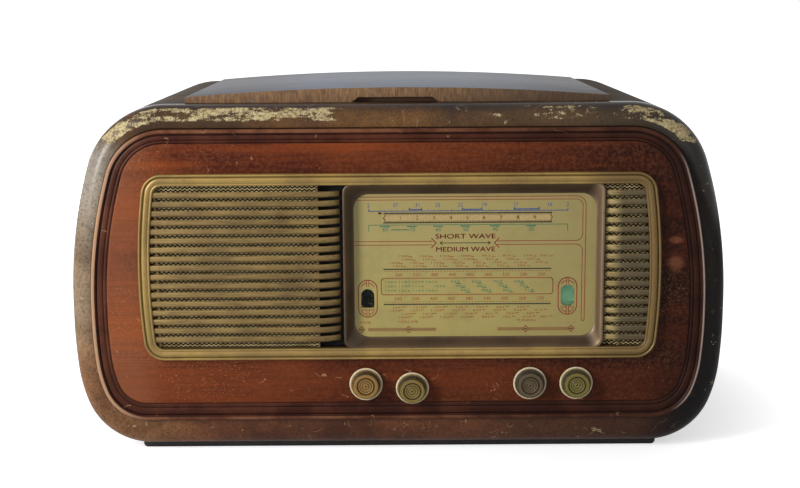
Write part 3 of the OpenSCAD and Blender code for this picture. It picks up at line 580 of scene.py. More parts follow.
class Recipe:
    """Builds one node material, a step at a time."""

    def __init__(self, name: str) -> None:
        """Starts a material.

        Args:
            name: The material's name.
        """
        self.material = bpy.data.materials.new(name)
        self.material.use_nodes = True
        self.tree = self.material.node_tree
        self.shader = self.tree.nodes["Principled BSDF"]
        self.place = Value(self, self.tree.nodes.new("ShaderNodeTexCoord").outputs["Object"])

    def set(self, socket: bpy.types.NodeSocket, value: Any) -> None:
        """Links a socket to an output, or sets its value.

        Args:
            socket: The input.
            value: An output, a number or a colour of six digits.
        """
        if isinstance(value, Value):
            self.tree.links.new(value.socket, socket)
        else:
            socket.default_value = tint(value) if isinstance(value, str) else value

    def surface(self, **values: Any) -> None:
        """Sets the shader's inputs by their names.

        Args:
            values: For each input its value, with a low line for each space in its name.
        """
        for name, value in values.items():
            self.set(self.shader.inputs[name.replace("_", " ")], value)

    def math(self, operation: str, a: Value, b: Any = 0.0, clamp: bool = False) -> Value:
        """Adds a sum of one or two values.

        Args:
            operation: Name of the operation.
            a: First value.
            b: Second value.
            clamp: Whether the result stays between zero and one.

        Returns:
            The result.
        """
        node = self.tree.nodes.new("ShaderNodeMath")
        node.operation = operation
        node.use_clamp = clamp
        self.set(node.inputs[0], a)
        self.set(node.inputs[1], b)
        return Value(self, node.outputs[0])

    @cached_property
    def axes(self) -> tuple[Value, ...]:
        """Splits the place on the object, once for the whole material.

        Returns:
            The place along X, Y and Z, in metres.
        """
        node = self.tree.nodes.new("ShaderNodeSeparateXYZ")
        self.set(node.inputs[0], self.place)
        return tuple(Value(self, output) for output in node.outputs)

    def noise(self, scale: float | Triple, detail: float = 3, rough: float = 0.5) -> Value:
        """Adds a cloudy pattern.

        Args:
            scale: Number of features in a metre, or one such number for each axis.
            detail: Number of finer layers.
            rough: Share of the finer layers.

        Returns:
            The pattern, from zero to one.
        """
        node = self.tree.nodes.new("ShaderNodeTexNoise")
        self.set(node.inputs["Vector"], self.place)
        node.inputs["Scale"].default_value = 1.0 if isinstance(scale, tuple) else scale
        node.inputs["Detail"].default_value = detail
        node.inputs["Roughness"].default_value = rough
        if isinstance(scale, tuple):
            stretch = self.tree.nodes.new("ShaderNodeMapping")
            stretch.inputs["Scale"].default_value = scale
            self.set(stretch.inputs["Vector"], self.place)
            self.set(node.inputs["Vector"], Value(self, stretch.outputs[0]))
        return Value(self, node.outputs[0])

    def mix(self, share: Value, a: Any, b: Any) -> Value:
        """Mixes two colours.

        Args:
            share: Share of the second colour.
            a: First colour.
            b: Second colour.

        Returns:
            The mixed colour.
        """
        node = self.tree.nodes.new("ShaderNodeMix")
        node.data_type = "RGBA"
        for i, value in ((0, share), (6, a), (7, b)):
            self.set(node.inputs[i], value)
        return Value(self, node.outputs[2])

    def layers(self, colour: Any, *rows: tuple[Value, float, Any]) -> Value:
        """Lays colours over another, one after the other.

        Args:
            colour: The colour below.
            rows: For each layer its pattern, how much it covers at most, and its colour.

        Returns:
            The colour on top.
        """
        for share, most, code in rows:
            colour = self.mix(share if most == 1 else share * most, colour, code)
        return colour

    def attribute(self, name: str) -> Value:
        """Reads a value that the mesh carries.

        Args:
            name: The attribute's name.

        Returns:
            The value.
        """
        node = self.tree.nodes.new("ShaderNodeAttribute")
        node.attribute_name = name
        return Value(self, node.outputs["Fac"])

    def hairlines(self, scale: float, width: float, share: float) -> Value:
        """Draws thin scattered scratches.

        Args:
            scale: Number of turns of the scratches in a metre.
            width: Width of a scratch, as a share of the pattern.
            share: How much of the surface stays free of them.

        Returns:
            One on a scratch and zero elsewhere.
        """
        line = abs(self.noise(scale, 2, 0.4) - 0.5).ramp(width, 0)
        where = self.noise((scale * 0.91, scale * 0.49, scale * 1.33), 1, 0.5)
        return line * where.ramp(share, share + 0.05)

    def bump(self, height: Value, depth: float, strength: float) -> Value:
        """Turns a pattern into a relief.

        Args:
            height: The pattern.
            depth: Depth of the relief, in millimetres.
            strength: How strongly it shows.

        Returns:
            The bent normal.
        """
        node = self.tree.nodes.new("ShaderNodeBump")
        for name, value in (("Strength", strength), ("Distance", depth * MM), ("Height", height)):
            self.set(node.inputs[name], value)
        return Value(self, node.outputs[0])


@dataclass(frozen=True)
class Finish:
    """The look of a material, which its subclasses paint."""

    name: str

    def build(self) -> bpy.types.Material:
        """Builds the material.

        Returns:
            The new material.
        """
        recipe = Recipe(self.name)
        self.paint(recipe)
        return recipe.material

    def paint(self, recipe: Recipe) -> None:
        """Sets the material's surface."""
        raise NotImplementedError


@dataclass(frozen=True)
class WoodFinish(Finish):
    """Polished or plain wood with its grain across."""

    dark: str
    mid: str
    light: str
    roughness: float
    coat: float = 0.0

    def paint(self, recipe: Recipe) -> None:
        """Paints the wood.

        Args:
            recipe: The material to add to.
        """
        fibres = recipe.noise((5, 240, 240), 4, 0.6)
        body = recipe.mix(recipe.noise((9, 9, 14.4)).ramp(0.35, 0.68), self.mid, self.light)
        recipe.surface(
            Base_Color=recipe.mix(fibres.ramp(0.56, 0.34), body, self.dark),
            Roughness=recipe.noise(30).level(self.roughness - 0.08, self.roughness + 0.1),
            Coat_Weight=self.coat,
            Normal=recipe.bump(fibres, 0.15, 0.4),
        )


@dataclass(frozen=True)
class BoardFinish(Finish):
    """The reddish polished veneer of the front board, darker in its moulded edge, scratched and rubbed, with
    painted light at its left end and painted shade towards the right.

    Attributes:
        opening_z: Height of the middle of the part behind the louvres that is painted dark as shade, in
            metres.
        opening_half: Half the height of that part.
    """

    name: str = "front_board_veneer"
    opening_z: float = 0.1845
    opening_half: float = 0.0845

    def paint(self, recipe: Recipe) -> None:
        """Paints the veneer, its moulded edge and its scratches.

        Args:
            recipe: The material to add to.
        """
        x, _, z = recipe.axes
        # Painted shade: the veneer darkens towards the right, away from the light, and its figure fades
        # there.
        right = x.ramp(-0.12, 0.27)
        clouds = recipe.noise((5.6, 7, 10.5), 4, 0.55).ramp(0.36, 0.66)
        warm = recipe.mix(clouds, "43170a", "78391b")
        lines = recipe.noise((22, 700, 700), 5, 0.62)
        figure = recipe.noise((3, 60, 60), 3, 0.55).ramp(0.48, 0.64)
        colour = recipe.layers(
            recipe.mix(right, warm, recipe.mix(clouds, "230c07", "38170e")),
            (lines.ramp(0.56, 0.36), 0.42, "2a0e08"),
            (recipe.noise(260, 5, 0.7).ramp(0.44, 0.6), 0.16, "a0603c"),
            (figure * right.level(0.4, 0.14), 1, "93451c"),
            # Darker towards the bottom, with painted light along the left end and painted shade along the
            # right end.
            (z.ramp(0.1, 0.08), 0.25, "1c0a06"),
            (x.ramp(-0.225, -0.268), 0.3, "9c6648"),
            (x.ramp(0.235, 0.275), 0.45, "160906"),
        )
        edge = recipe.attribute("edge")
        worn = recipe.noise(30, 4, 0.62)
        brown = recipe.mix(worn.ramp(0.4, 0.66), "321711", "4f2b1e")
        tan = recipe.mix(worn.ramp(0.38, 0.6), "5a3322", "7c5138")
        # Painted shade: the part of the board behind the louvres.
        behind = abs(z - self.opening_z).ramp(self.opening_half, self.opening_half - 0.0007)
        scratches = recipe.hairlines(52, 0.011, 0.635) * right.level(1.0, 0.3)
        colour = recipe.layers(
            self.rubbed_places(recipe, colour),
            # Moulded edge: brown, darkened towards the right as painted shade.
            (edge.ramp(0.1, 0.3), 0.85, recipe.mix(right * 0.6, brown, "1d0d09")),
            # The bead: tan where it is rubbed, with a painted highlight that fades towards the right and is
            # palest at the far left.
            (
                edge.ramp(0.84, 0.95) * right.level(0.9, 0.15),
                1,
                recipe.mix(x.ramp(-0.24, -0.29) * 0.8, tan, "c29a78"),
            ),
            # A thin painted highlight along the bead at the right end.
            (edge.ramp(0.975, 0.995) * x.ramp(0.27, 0.29), 0.8, "c0aca0"),
            (edge.ramp(0.5, 0.64) * edge.ramp(0.84, 0.74), 0.85, "120705"),
            # Painted shade: the board behind the louvres is painted dark.
            (behind * edge.ramp(0.05, 0.0) * abs(x).ramp(0.2, 0.19), 1, "120a07"),
            (scratches, 0.8, "b98a64"),
        )
        recipe.surface(
            Base_Color=colour,
            Roughness=recipe.noise(26, 4).level(0.3, 0.5),
            Specular_IOR_Level=0.12,
            Normal=recipe.bump(lines - scratches * 2, 0.1, 0.5),
        )

    def rubbed_places(self, recipe: Recipe, colour: Value) -> Value:
        """Adds the pale specks, the orange places where the polish is rubbed through, and an orange painted
        pool of light at the left end.

        Args:
            recipe: The material to add to.
            colour: The veneer's colour so far.

        Returns:
            The colour with the worn places and the painted light.
        """
        x, _, z = recipe.axes
        ragged = recipe.noise((60, 150, 150), 6, 0.68) * 2.4
        for middle_x, middle_z, reach_x, reach_z, share, code in (
            # The first place, at the left end, is a painted pool of light; the others are rubbed through.
            (-0.272, 0.138, 0.026, 0.03, 0.5, "8e4a22"),
            (-0.1, 0.075, 0.14, 0.03, 0.3, "7c3c1d"),
            (-0.07, 0.31, 0.2, 0.02, 0.25, "7c3c1d"),
            (0.272, 0.216, 0.01, 0.005, 0.6, "8a543a"),
            (0.271, 0.192, 0.011, 0.012, 0.5, "8a543a"),
        ):
            off_x = (x - middle_x) / reach_x
            off_z = (z - middle_z) / reach_z
            worn = (off_x * off_x + off_z * off_z + ragged).ramp(2.1, 1.1)
            colour = recipe.mix(worn * share, colour, code)
        specks = recipe.noise(800, 2, 0.6).ramp(0.63, 0.7)
        patches = recipe.noise((7.2, 9, 11.7), 5, 0.62).ramp(0.46, 0.66)
        return recipe.mix(specks * patches * 0.7, colour, "b98a5c")


@dataclass(frozen=True)
class WrapFinish(Finish):
    """The brown veneer of the bent cabinet and its moulding, worn off in pale patches on top, with a painted
    highlight on its upper left side and painted shade towards the right.

    Attributes:
        gloss: Strength of its reflections.
        roughest: Roughness of its dullest places.
        dusk: How nearly black its painted shade gets at the right.
        fold: Where the moulding turns to the front, on the Y axis, in metres.
    """

    name: str = "worn_cabinet_veneer"
    gloss: float = 0.27
    roughest: float = 0.32
    dusk: float = 0.95
    fold: float = -0.166

    def paint(self, recipe: Recipe) -> None:
        """Paints the veneer and what is worn off it.

        Args:
            recipe: The material to add to.
        """
        colour, fibres = self.veneer(recipe)
        bare = self.bare_places(recipe)
        dark_end = recipe.axes[0].ramp(0.22, 0.29)
        chips = recipe.noise(95, 6, 0.68).ramp(0.655, 0.68) * dark_end.level(0.6, 0.1)
        scratches = recipe.hairlines(50, 0.01, 0.6) * dark_end.level(0.5, 0.1)
        pale = recipe.mix(recipe.noise(420, 4, 0.65).ramp(0.34, 0.62), "7f6a45", "cab98c")
        rough = recipe.noise(24, 4).level(self.roughest - 0.14, self.roughest)
        recipe.surface(
            Base_Color=recipe.layers(colour, (bare.most(chips), 1, pale), (scratches, 1, "a58a6c")),
            Roughness=recipe.math("ADD", rough, bare * 0.4, True) - dark_end * 0.1,
            Specular_IOR_Level=self.gloss,
            Normal=recipe.bump(fibres * 0.3 - bare, 0.25, 0.5),
        )

    def veneer(self, recipe: Recipe) -> tuple[Value, Value]:
        """Mixes the veneer: grey brown at the left with a painted highlight on its upper part, ochre on top
        and low down, and darkened by painted shade towards the right until it is nearly black.

        Args:
            recipe: The material to add to.

        Returns:
            The colour and the pattern of the fibres.
        """
        x, y, z = recipe.axes
        fibres = recipe.noise((420, 14, 420), 4, 0.6)
        behind = y.ramp(self.fold, self.fold + 0.016).level(1.0, 0.35)
        share = ((recipe.noise(13, 6, 0.62) - 0.52) * behind + 0.52).ramp(0.33, 0.69)
        low = z.ramp(0.16, 0.07)
        # The red and the ochre darken towards the right as painted shade.
        red = recipe.mix(x.ramp(-0.05, 0.22), recipe.mix(share, "442313", "6c3c24"), "371a10")
        ochre = recipe.mix(x.ramp(0.0, 0.25), recipe.mix(share, "3a220c", "6b4416"), "33230f")
        colour = recipe.layers(
            recipe.mix(share, "5c4c39", "947c61"),
            # Painted highlight: pale grey on the upper left side.
            (x.ramp(-0.26, -0.3) * z.ramp(0.2, 0.27), 0.55, "a8a094"),
            (low, 0.9, recipe.mix(share, "5e3a20", "92633a")),
            (low * x.ramp(-0.26, -0.18), 0.85, red),
            (z.ramp(0.3, 0.325) * y.ramp(self.fold, self.fold - 0.012), 0.9, ochre),
            (z.ramp(0.34, 0.348) * share.level(0.95, 0.6), 1, "1c130d"),
            # Painted shade: nearly black at the right.
            (x.ramp(0.22, 0.29), self.dusk, recipe.mix(share, "040202", "0b0605")),
            (fibres.ramp(0.55, 0.35), 0.4, "1d120b"),
        )
        return colour, fibres

    def bare_places(self, recipe: Recipe) -> Value:
        """Finds where the veneer is worn down to pale wood along the top of the moulding.

        Args:
            recipe: The material to add to.

        Returns:
            One on bare wood and zero elsewhere.
        """
        x, _, z = recipe.axes
        over = recipe.attribute("edge")
        band = over.ramp(0.24, 0.4) * over.ramp(0.94, 0.8)
        ends = x.ramp(-0.03, -0.085).most(x.ramp(0.11, 0.16) * 0.85)
        inside = band * (ends * z.ramp(0.303, 0.322)).level(0.45, 1.0)
        drift = recipe.noise((55, 130, 130), 8, 0.78)
        wide = recipe.noise((16, 60, 60), 3, 0.6) * 0.5
        fine = recipe.noise((900, 120, 120), 3, 0.6) * 0.16
        return (drift + wide + fine + (inside - 1.0) * 0.34).ramp(0.79, 0.84)


@dataclass(frozen=True)
class LidFinish(Finish):
    """The lacquer of the lid, with a painted grey-blue sheen on top, bare and dirty along its front edge,
    and brown below.

    Attributes:
        front_edge: Where the lid's front face stands on the Y axis, in metres.
    """

    name: str = "lid_lacquer"
    front_edge: float = -0.16545

    def paint(self, recipe: Recipe) -> None:
        """Paints the top, the front edge and the underside.

        Args:
            recipe: The material to add to.
        """
        x, y, z = recipe.axes
        clouds = recipe.noise((9, 16, 16), 6, 0.66)
        lines = recipe.noise((10, 360, 360), 5, 0.65)
        bare = recipe.layers(
            recipe.mix(recipe.noise((620, 300, 110), 5, 0.65).ramp(0.26, 0.74), "553a24", "94704a"),
            (recipe.noise(28, 5, 0.62).ramp(0.5, 0.68), 0.6, "51301f"),
            # Painted shade: the bare edge darkens towards the right.
            (x.ramp(-0.05, 0.2), 0.75, "33241a"),
        )
        inner = recipe.layers(
            recipe.mix(clouds.ramp(0.3, 0.72), "573822", "6c4a2d"),
            (lines.ramp(0.52, 0.36), 0.4, "352012"),
        )
        edge = y.ramp(self.front_edge + 0.0012, self.front_edge + 0.0004)
        notch = z.ramp(0.3556, 0.3553) * y.ramp(-0.1525, -0.153) * abs(x + 0.002).ramp(0.0455, 0.0445)
        below = z.ramp(0.3509, 0.3503).most(notch) * edge.ramp(0.6, 0.2)
        colour = recipe.layers(
            # Painted sheen: the grey-blue of the top, paler in the middle, stands for reflected light.
            recipe.mix(clouds.ramp(0.36, 0.66), "3a3638", "5f6068"),
            (abs(x).ramp(0.2, 0.05), 0.6, "8790a0"),
            (lines.ramp(0.52, 0.36), 0.5, "241d1a"),
            (recipe.noise(520, 3, 0.6).ramp(0.64, 0.7), 0.4, "2c2725"),
            (edge, 1, bare),
            (below, 1, inner),
            (recipe.hairlines(42, 0.009, 0.6), 0.4, "8a8688"),
        )
        recipe.surface(
            Base_Color=colour,
            Roughness=clouds.level(0.42, 0.6) + edge * 0.2,
            Specular_IOR_Level=0.45,
            Normal=recipe.bump(lines, 0.15, 0.5),
        )


@dataclass(frozen=True)
class GiltFinish(Finish):
    """Thin gilt lacquer over metal, dulled and dirty, darker where its mesh marks an edge: in the grooves
    and on the inner wall of the band, and as painted shade on the sunken walls of the scale's bezel.

    Attributes:
        far: The colour of painted light or shade at one end, or none.
        far_from: Where that painted light or shade begins, and where it is full.
        streaks: How strongly dirt runs along the slats, or zero; when it is not zero, painted shade also
            darkens the lower side of each slat.
    """

    bright: str
    dull: str
    dirt: str
    roughness: float
    metal: float
    dirt_share: float
    far: str = ""
    far_from: Point = (0.0, 0.0)
    streaks: float = 0.0

    def paint(self, recipe: Recipe) -> None:
        """Paints the gilt and its dirt.

        Args:
            recipe: The material to add to.
        """
        colour = recipe.mix(recipe.noise(24, 4, 0.6).ramp(0.34, 0.68), self.bright, self.dull)
        x, _, z = recipe.axes
        # Painted light or shade at one end.
        if self.far:
            colour = recipe.mix(x.ramp(*self.far_from) * 0.8, colour, self.far)
        if self.streaks:
            lines = recipe.noise((40, 500, 1500), 5, 0.65).ramp(0.55, 0.38)
            # Painted shade: the lower side of each slat darkens.
            shaded_lower_side = (z / (SLAT_PITCH * MM) + 0.222).fraction().ramp(0.42, 0.22)
            colour = recipe.layers(colour, (lines, self.streaks, self.dirt), (shaded_lower_side, 0.6, self.dirt))
        grime = recipe.noise(260, 5, 0.66).ramp(0.52, 0.72) * self.dirt_share
        # Dirt, and darkening where the mesh marks an edge; on the scale's bezel that darkening is painted
        # shade.
        recipe.surface(
            Base_Color=recipe.mix(grime.most(recipe.attribute("edge"), True), colour, self.dirt),
            Roughness=recipe.noise(120).level(self.roughness - 0.08, self.roughness + 0.14),
            Metallic=self.metal,
            Normal=recipe.bump(recipe.noise(900, 2), 0.05, 0.3),
        )


@dataclass(frozen=True)
class WovenMetalFinish(Finish):
    """Pierced gilt sheet: rows of zigzag wire with dark holes."""

    name: str = "zigzag_mesh"
    pitch: float = 4.64
    row: float = 3.0
    swing: float = 2.0

    def paint(self, recipe: Recipe) -> None:
        """Paints the wires and the holes.

        Args:
            recipe: The material to add to.
        """
        x, _, z = recipe.axes
        fold = abs((x / (self.pitch * MM)).fraction() - 0.5)
        lifted = z + fold * (2 * self.swing * MM)
        wire = abs((lifted / (self.row * MM)).fraction() - 0.5).ramp(0.29, 0.36)
        gold = recipe.mix(recipe.noise(60, 4, 0.6).ramp(0.4, 0.7), "d2bf88", "94804c")
        recipe.surface(
            Base_Color=recipe.mix(wire, "120a04", gold),
            Roughness=0.5,
            Specular_IOR_Level=0.1,
            Normal=recipe.bump(wire, 0.4, 0.8),
        )


@dataclass(frozen=True)
class ScaleFinish(Finish):
    """Glass painted cream and green on its back."""

    name: str = "painted_scale"

    def paint(self, recipe: Recipe) -> None:
        """Paints the glass.

        Args:
            recipe: The material to add to.
        """
        x, _, z = recipe.axes
        slope = z.ramp(0.11, 0.27) + recipe.noise(14) * 0.35
        colour = recipe.layers(
            recipe.mix(slope.ramp(0.3, 1.1), "a89852", "a29357"),
            # Painted shade: darker towards the right.
            (x.ramp(0.05, 0.2), 0.5, "91824f"),
            (recipe.noise(330, 3, 0.6).ramp(0.68, 0.74), 0.35, "5f5a38"),
            (recipe.noise(34, 4, 0.6).ramp(0.52, 0.7), 0.3, "857c47"),
        )
        recipe.surface(Base_Color=colour, Roughness=0.5, Coat_Weight=0.4, Coat_Roughness=0.06)


@dataclass(frozen=True)
class CoatedFinish(Finish):
    """A paint, plating or moulded surface with fine marks and dust."""

    colour: str
    marks: str
    roughness: float
    grain: float
    marks_share: float = 0.5
    metal: float = 0.0
    coat: float = 0.0
    relief: float = 0.04

    def paint(self, recipe: Recipe) -> None:
        """Paints the coating.

        Args:
            recipe: The material to add to.
        """
        clouds = recipe.noise(self.grain, 5, 0.62).ramp(0.42, 0.72)
        recipe.surface(
            Base_Color=recipe.mix(clouds * self.marks_share, self.colour, self.marks),
            Roughness=recipe.noise(self.grain * 0.6).level(self.roughness - 0.06, self.roughness + 0.12),
            Metallic=self.metal,
            Coat_Weight=self.coat,
            Normal=recipe.bump(recipe.noise(self.grain * 9, 2), self.relief, 0.4),
        )


@dataclass(frozen=True)
class KnobFinish(Finish):
    """Ivory plastic, yellowed, with brown dirt left in its grooves."""

    face: str
    rim: str = "dccdac"
    dirt: str = "332511"

    def paint(self, recipe: Recipe) -> None:
        """Paints the plastic of one knob.

        Args:
            recipe: The material to add to.
        """
        clouds = recipe.noise(150, 4, 0.6)
        used = recipe.attribute("edge")
        worn = recipe.math("MULTIPLY", used, recipe.noise(420, 3, 0.6).level(0.5, 1.5), True)
        colour = recipe.layers(
            self.rim,
            (clouds.ramp(0.35, 0.7), 0.35, self.face),
            (used.ramp(0.0, 0.3), 1, self.face),
            (worn.ramp(0.4, 0.8), 1, self.dirt),
        )
        recipe.surface(
            Base_Color=colour,
            Roughness=clouds.level(0.3, 0.55),
            Specular_IOR_Level=0.35,
            Normal=recipe.bump(recipe.noise(1500, 2), 0.05, 0.4),
        )


@dataclass(frozen=True)
class ClearFinish(Finish):
    """Clear glass with a faint film of dirt."""

    colour: str
    bend: float = 1.5
    roughness: float = 0.02

    def paint(self, recipe: Recipe) -> None:
        """Makes the surface clear."""
        film = recipe.noise(60).level(self.roughness, self.roughness + 0.08)
        recipe.surface(Base_Color=self.colour, Roughness=film, Transmission_Weight=1.0, IOR=self.bend)


@dataclass(frozen=True)
class FlagFinish(Finish):
    """A painted disc with one colour on its upper quarter and another on the rest.

    Attributes:
        shown: The colour that its window shows at rest.
        other: The colour that its window shows when it is turned.
        middle_x: Its middle, across, in metres.
        middle_z: Its middle, up, in metres.
    """

    shown: str
    other: str
    middle_x: float
    middle_z: float

    def paint(self, recipe: Recipe) -> None:
        """Paints the quarter and the rest.

        Args:
            recipe: The material to add to.
        """
        x, _, z = recipe.axes
        above = z - self.middle_z - abs(x - self.middle_x)
        dusty = recipe.mix(recipe.noise(240).ramp(0.55, 0.75) * 0.25, self.shown, "8d8f80")
        recipe.surface(
            Base_Color=recipe.mix(above.ramp(-0.0003, 0.0003), self.other, dusty),
            Roughness=0.5,
            Specular_IOR_Level=0.1,
        )


# The cabinet's shape


@dataclass(frozen=True)
class BowedOutline:
    """An outline of arcs that swing from its bottom edge up a bowed side to its top edge."""

    width: float
    height: float
    bottom: float
    radii: tuple[float, float, float, float]
    headings: Triple
    steps: tuple[int, int, int, int, int]
    middle: float = 0.0

    def points(self, side: float, low: float, high: float) -> list[Point]:
        """Draws the outline, moved inwards.

        Args:
            side: How far the sides move in.
            low: How far the bottom moves up.
            high: How far the top moves down.

        Returns:
            The closed outline, anticlockwise from the bottom right.
        """
        r = [radius - side for radius in self.radii]
        a = [math.radians(h) for h in self.headings]
        flat = (self.width - 2 * side) / 2 - r[0] * math.sin(a[0])
        flat -= r[1] * (math.sin(a[1]) - math.sin(a[0])) + r[2] * (1 - math.sin(a[1]))
        rise = r[0] * (1 - math.cos(a[0])) + r[1] * (math.cos(a[0]) - math.cos(a[1]))
        rise += r[2] * (math.cos(a[1]) - math.cos(a[2])) + r[3] * (math.cos(a[2]) + 1)
        x, z = flat, 0.0
        half = [(x, z)]
        swings = (
            (r[0], 0, a[0], 0),
            (r[1], a[0], a[1], 0),
            (r[2], a[1], math.pi / 2, 0),
            (r[2], math.pi / 2, a[2], self.height - low - high - rise),
            (r[3], a[2], math.pi, 0),
        )
        for (radius, begin, end, lift), steps in zip(swings, self.steps):
            if lift:
                z += lift
                half.append((x, z))
            for i in range(1, steps + 1):
                t = begin + (end - begin) * i / steps
                across, up = math.sin(t) - math.sin(begin), math.cos(begin) - math.cos(t)
                half.append((x + radius * across, z + radius * up))
            x, z = half[-1]
        right = [(self.middle + px, self.bottom + low + pz) for px, pz in half]
        left = [(self.middle - px, self.bottom + low + pz) for px, pz in reversed(half)]
        return right + left

    def side_at(self, inset: float, z: float) -> float:
        """Finds how far the right side is from the middle at one height.

        Args:
            inset: How far the outline is moved inwards.
            z: The height.

        Returns:
            The distance.
        """
        half = [p for p in self.points(inset, inset, inset) if p[0] > self.middle]
        best = min(zip(half, half[1:]), key=lambda pair: abs((pair[0][1] + pair[1][1]) / 2 - z))
        (xa, za), (xb, zb) = best
        share = 0.5 if abs(zb - za) < 1e-9 else min(1.0, max(0.0, (z - za) / (zb - za)))
        return xa + (xb - xa) * share - self.middle


CABINET = BowedOutline(650, 343, 0, (67, 142, 480, 81), (69, 84, 107), (26, 8, 8, 18, 28))
GILT_FRAME = BowedOutline(512, 185, 92, (20, 600, 600, 20), (84, 87, 98), (14, 4, 4, 8, 14), 1.5)


@dataclass
class Cabinet:
    """The wooden cabinet: its bent wrap, front moulding, front board, runners, well and back."""

    back: float = 384
    rim_reach: float = 16
    rim_side: float = 21
    rim_top: float = 22.5
    rim_bottom: float = 28
    rim_back: float = 6
    rim_ledge: float = 9
    rim_land: float = 1.5
    rim_steps: int = 12
    board_back: float = -6
    field: float = -20
    bead_w: float = 5.8
    side_share: float = 0.85
    top_share: float = 0.67
    scale_opening: tuple[float, float, float, float] = (-78.7, 212.9, 104, 265)
    speaker_opening: Triple = (-156, 168, 68)
    knob_hole_r: float = 8.5
    side_screw_z: float = 118.12

    def build(self) -> None:
        """Builds and dresses every piece of the cabinet."""
        self.moulding(WrapFinish().build())
        # The shell gets a lighter painted shade at the right.
        shell = WrapFinish("shell_veneer", gloss=0.1, roughest=0.85, dusk=0.35)
        refined(["cabinet_shell"], shell.build(), 0.0, 40)
        self.board()
        black = CoatedFinish("black_paint", "141110", "39322c", 0.6, 60, 0.4, relief=0.1).build()
        refined(["base_runners"], black, 0.6)
        plain = WoodFinish("plain_plywood", "5b3f25", "8a6843", "a8855a", 0.62).build()
        refined(["well_frame"], plain, 0.6)
        deck = WoodFinish("deck_veneer", "33150c", "5c2a18", "7c4227", 0.34, 0.2).build()
        refined(["deck_board"], deck, 0.6)
        pressed = CoatedFinish("pressed_board", "4a3423", "6e5540", 0.8, 500, 0.7, relief=0.15).build()
        dress("back_cover", pressed)
        self.screws()

    def panel(self, inset: float) -> list[Point]:
        """Draws the front board's outline, moved inwards by less at the sides and top than at the bottom.

        Args:
            inset: How far its bottom edge moves up.

        Returns:
            The outline.
        """
        past = max(inset - self.bead_w, 0)
        side = inset - past + past * self.side_share
        top = inset - past + past * self.top_share
        return CABINET.points(self.rim_side + side, self.rim_bottom + inset, self.rim_top + top)

    def moulding(self, veneer: bpy.types.Material) -> None:
        """Makes the rounded moulding round the front board.

        Args:
            veneer: The cabinet's finish.
        """
        rings = [ring_points(CABINET.points(0, 0, 0), self.rim_back)]
        over = [0.0]
        for i in range(self.rim_steps + 1):
            a = math.pi / 2 * i / self.rim_steps
            k = 1 - math.cos(a)
            over.append(i / self.rim_steps)
            outline = CABINET.points(
                (self.rim_side - self.rim_land) * k,
                (self.rim_bottom - self.rim_land) * k,
                (self.rim_top - self.rim_land) * k,
            )
            rings.append(ring_points(outline, -self.rim_reach * math.sin(a)))
        for inset, y in ((-0.5, -self.rim_reach), (0, 0.5 - self.rim_reach), (0, self.board_back)):
            rings.append(ring_points(self.panel(inset), y))
        rings.append(ring_points(self.panel(self.rim_ledge), self.board_back))
        rings.append(ring_points(self.panel(self.rim_ledge), self.rim_back))
        over += [1.0] * (len(rings) - len(over))
        bm = skin(rings, over, True, False)
        piece = finish_piece(bm, "front_moulding", veneer, "cabinet")
        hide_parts("front_rim")

    def board(self) -> None:
        """Makes the front board with the bead, hollow and ridge along its edge."""
        steps = (
            (0.3, self.board_back, 0.7), (0.3, -18.4, 0.7), (0.7, -19.4, 0.9), (1.6, -20.2, 1.0),
            (2.8, -20.5, 1.0), (4.0, -20.3, 0.95), (5.1, -19.6, 0.4), (5.6, -18.8, 0.5),
            (6.0, -18.1, 0.7), (6.7, -18.2, 0.6), (7.6, -18.6, 0.4), (9.8, -18.9, 0.4),
            (11.8, -18.8, 0.4), (13.0, -18.5, 0.5), (13.5, -18.1, 0.7), (14.0, -18.5, 0.5),
            (15.2, -19.2, 0.4), (16.6, -19.2, 0.4), (17.4, -18.7, 0.5), (17.8, -18.6, 0.68),
            (18.3, -19.3, 0.4), (19.0, self.field + 0.1, 0.1), (19.8, self.field, 0.03),
            (24.0, self.field, 0.0),
        )
        rings = [ring_points(self.panel(inset), y) for inset, y, _ in steps]
        bm = skin(rings, [edge for _, _, edge in steps], False, True)
        through = (-26.0, 0.0)
        holes = [round_box(*self.scale_opening, 5), disc(*self.speaker_opening, 64)]
        holes += [disc(x, KNOB_Z, self.knob_hole_r) for x in KNOB_PLACES]
        bm = carve(bm, [plate(hole, *through) for hole in holes])
        veneer = BoardFinish().build()
        piece = finish_piece(bm, "moulded_front_board", veneer, "cabinet", 50)
        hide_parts("front_panel")

    def screws(self) -> None:
        """Makes the slotted heads and the shanks of the wood screws."""
        brass = GiltFinish("screw_brass", "9c8450", "6e5a33", "3a2e1a", 0.35, 0.9, 0.4).build()
        whole = bmesh.new()
        side = CABINET.side_at(9, self.side_screw_z)
        for s in (-1, 1):
            for x, z in ((150, 9), (150, 334), (side, self.side_screw_z)):
                head = slotted_screw(2.8, 1.6, 12, 1.5, 25 + 40 * s + x)
                turn(head, -math.pi / 2, "X")
                merge(whole, head, spot(s * x, self.back, z))
            for y in (22, 302):
                head = slotted_screw(3.2, 1.6, 21, 1.5, 70 - 30 * s + y)
                merge(whole, head, spot(s * 191.75, y, 262))
        piece = finish_piece(whole, "slotted_wood_screws", brass, "cabinet", 40)
        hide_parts("wood_screws")


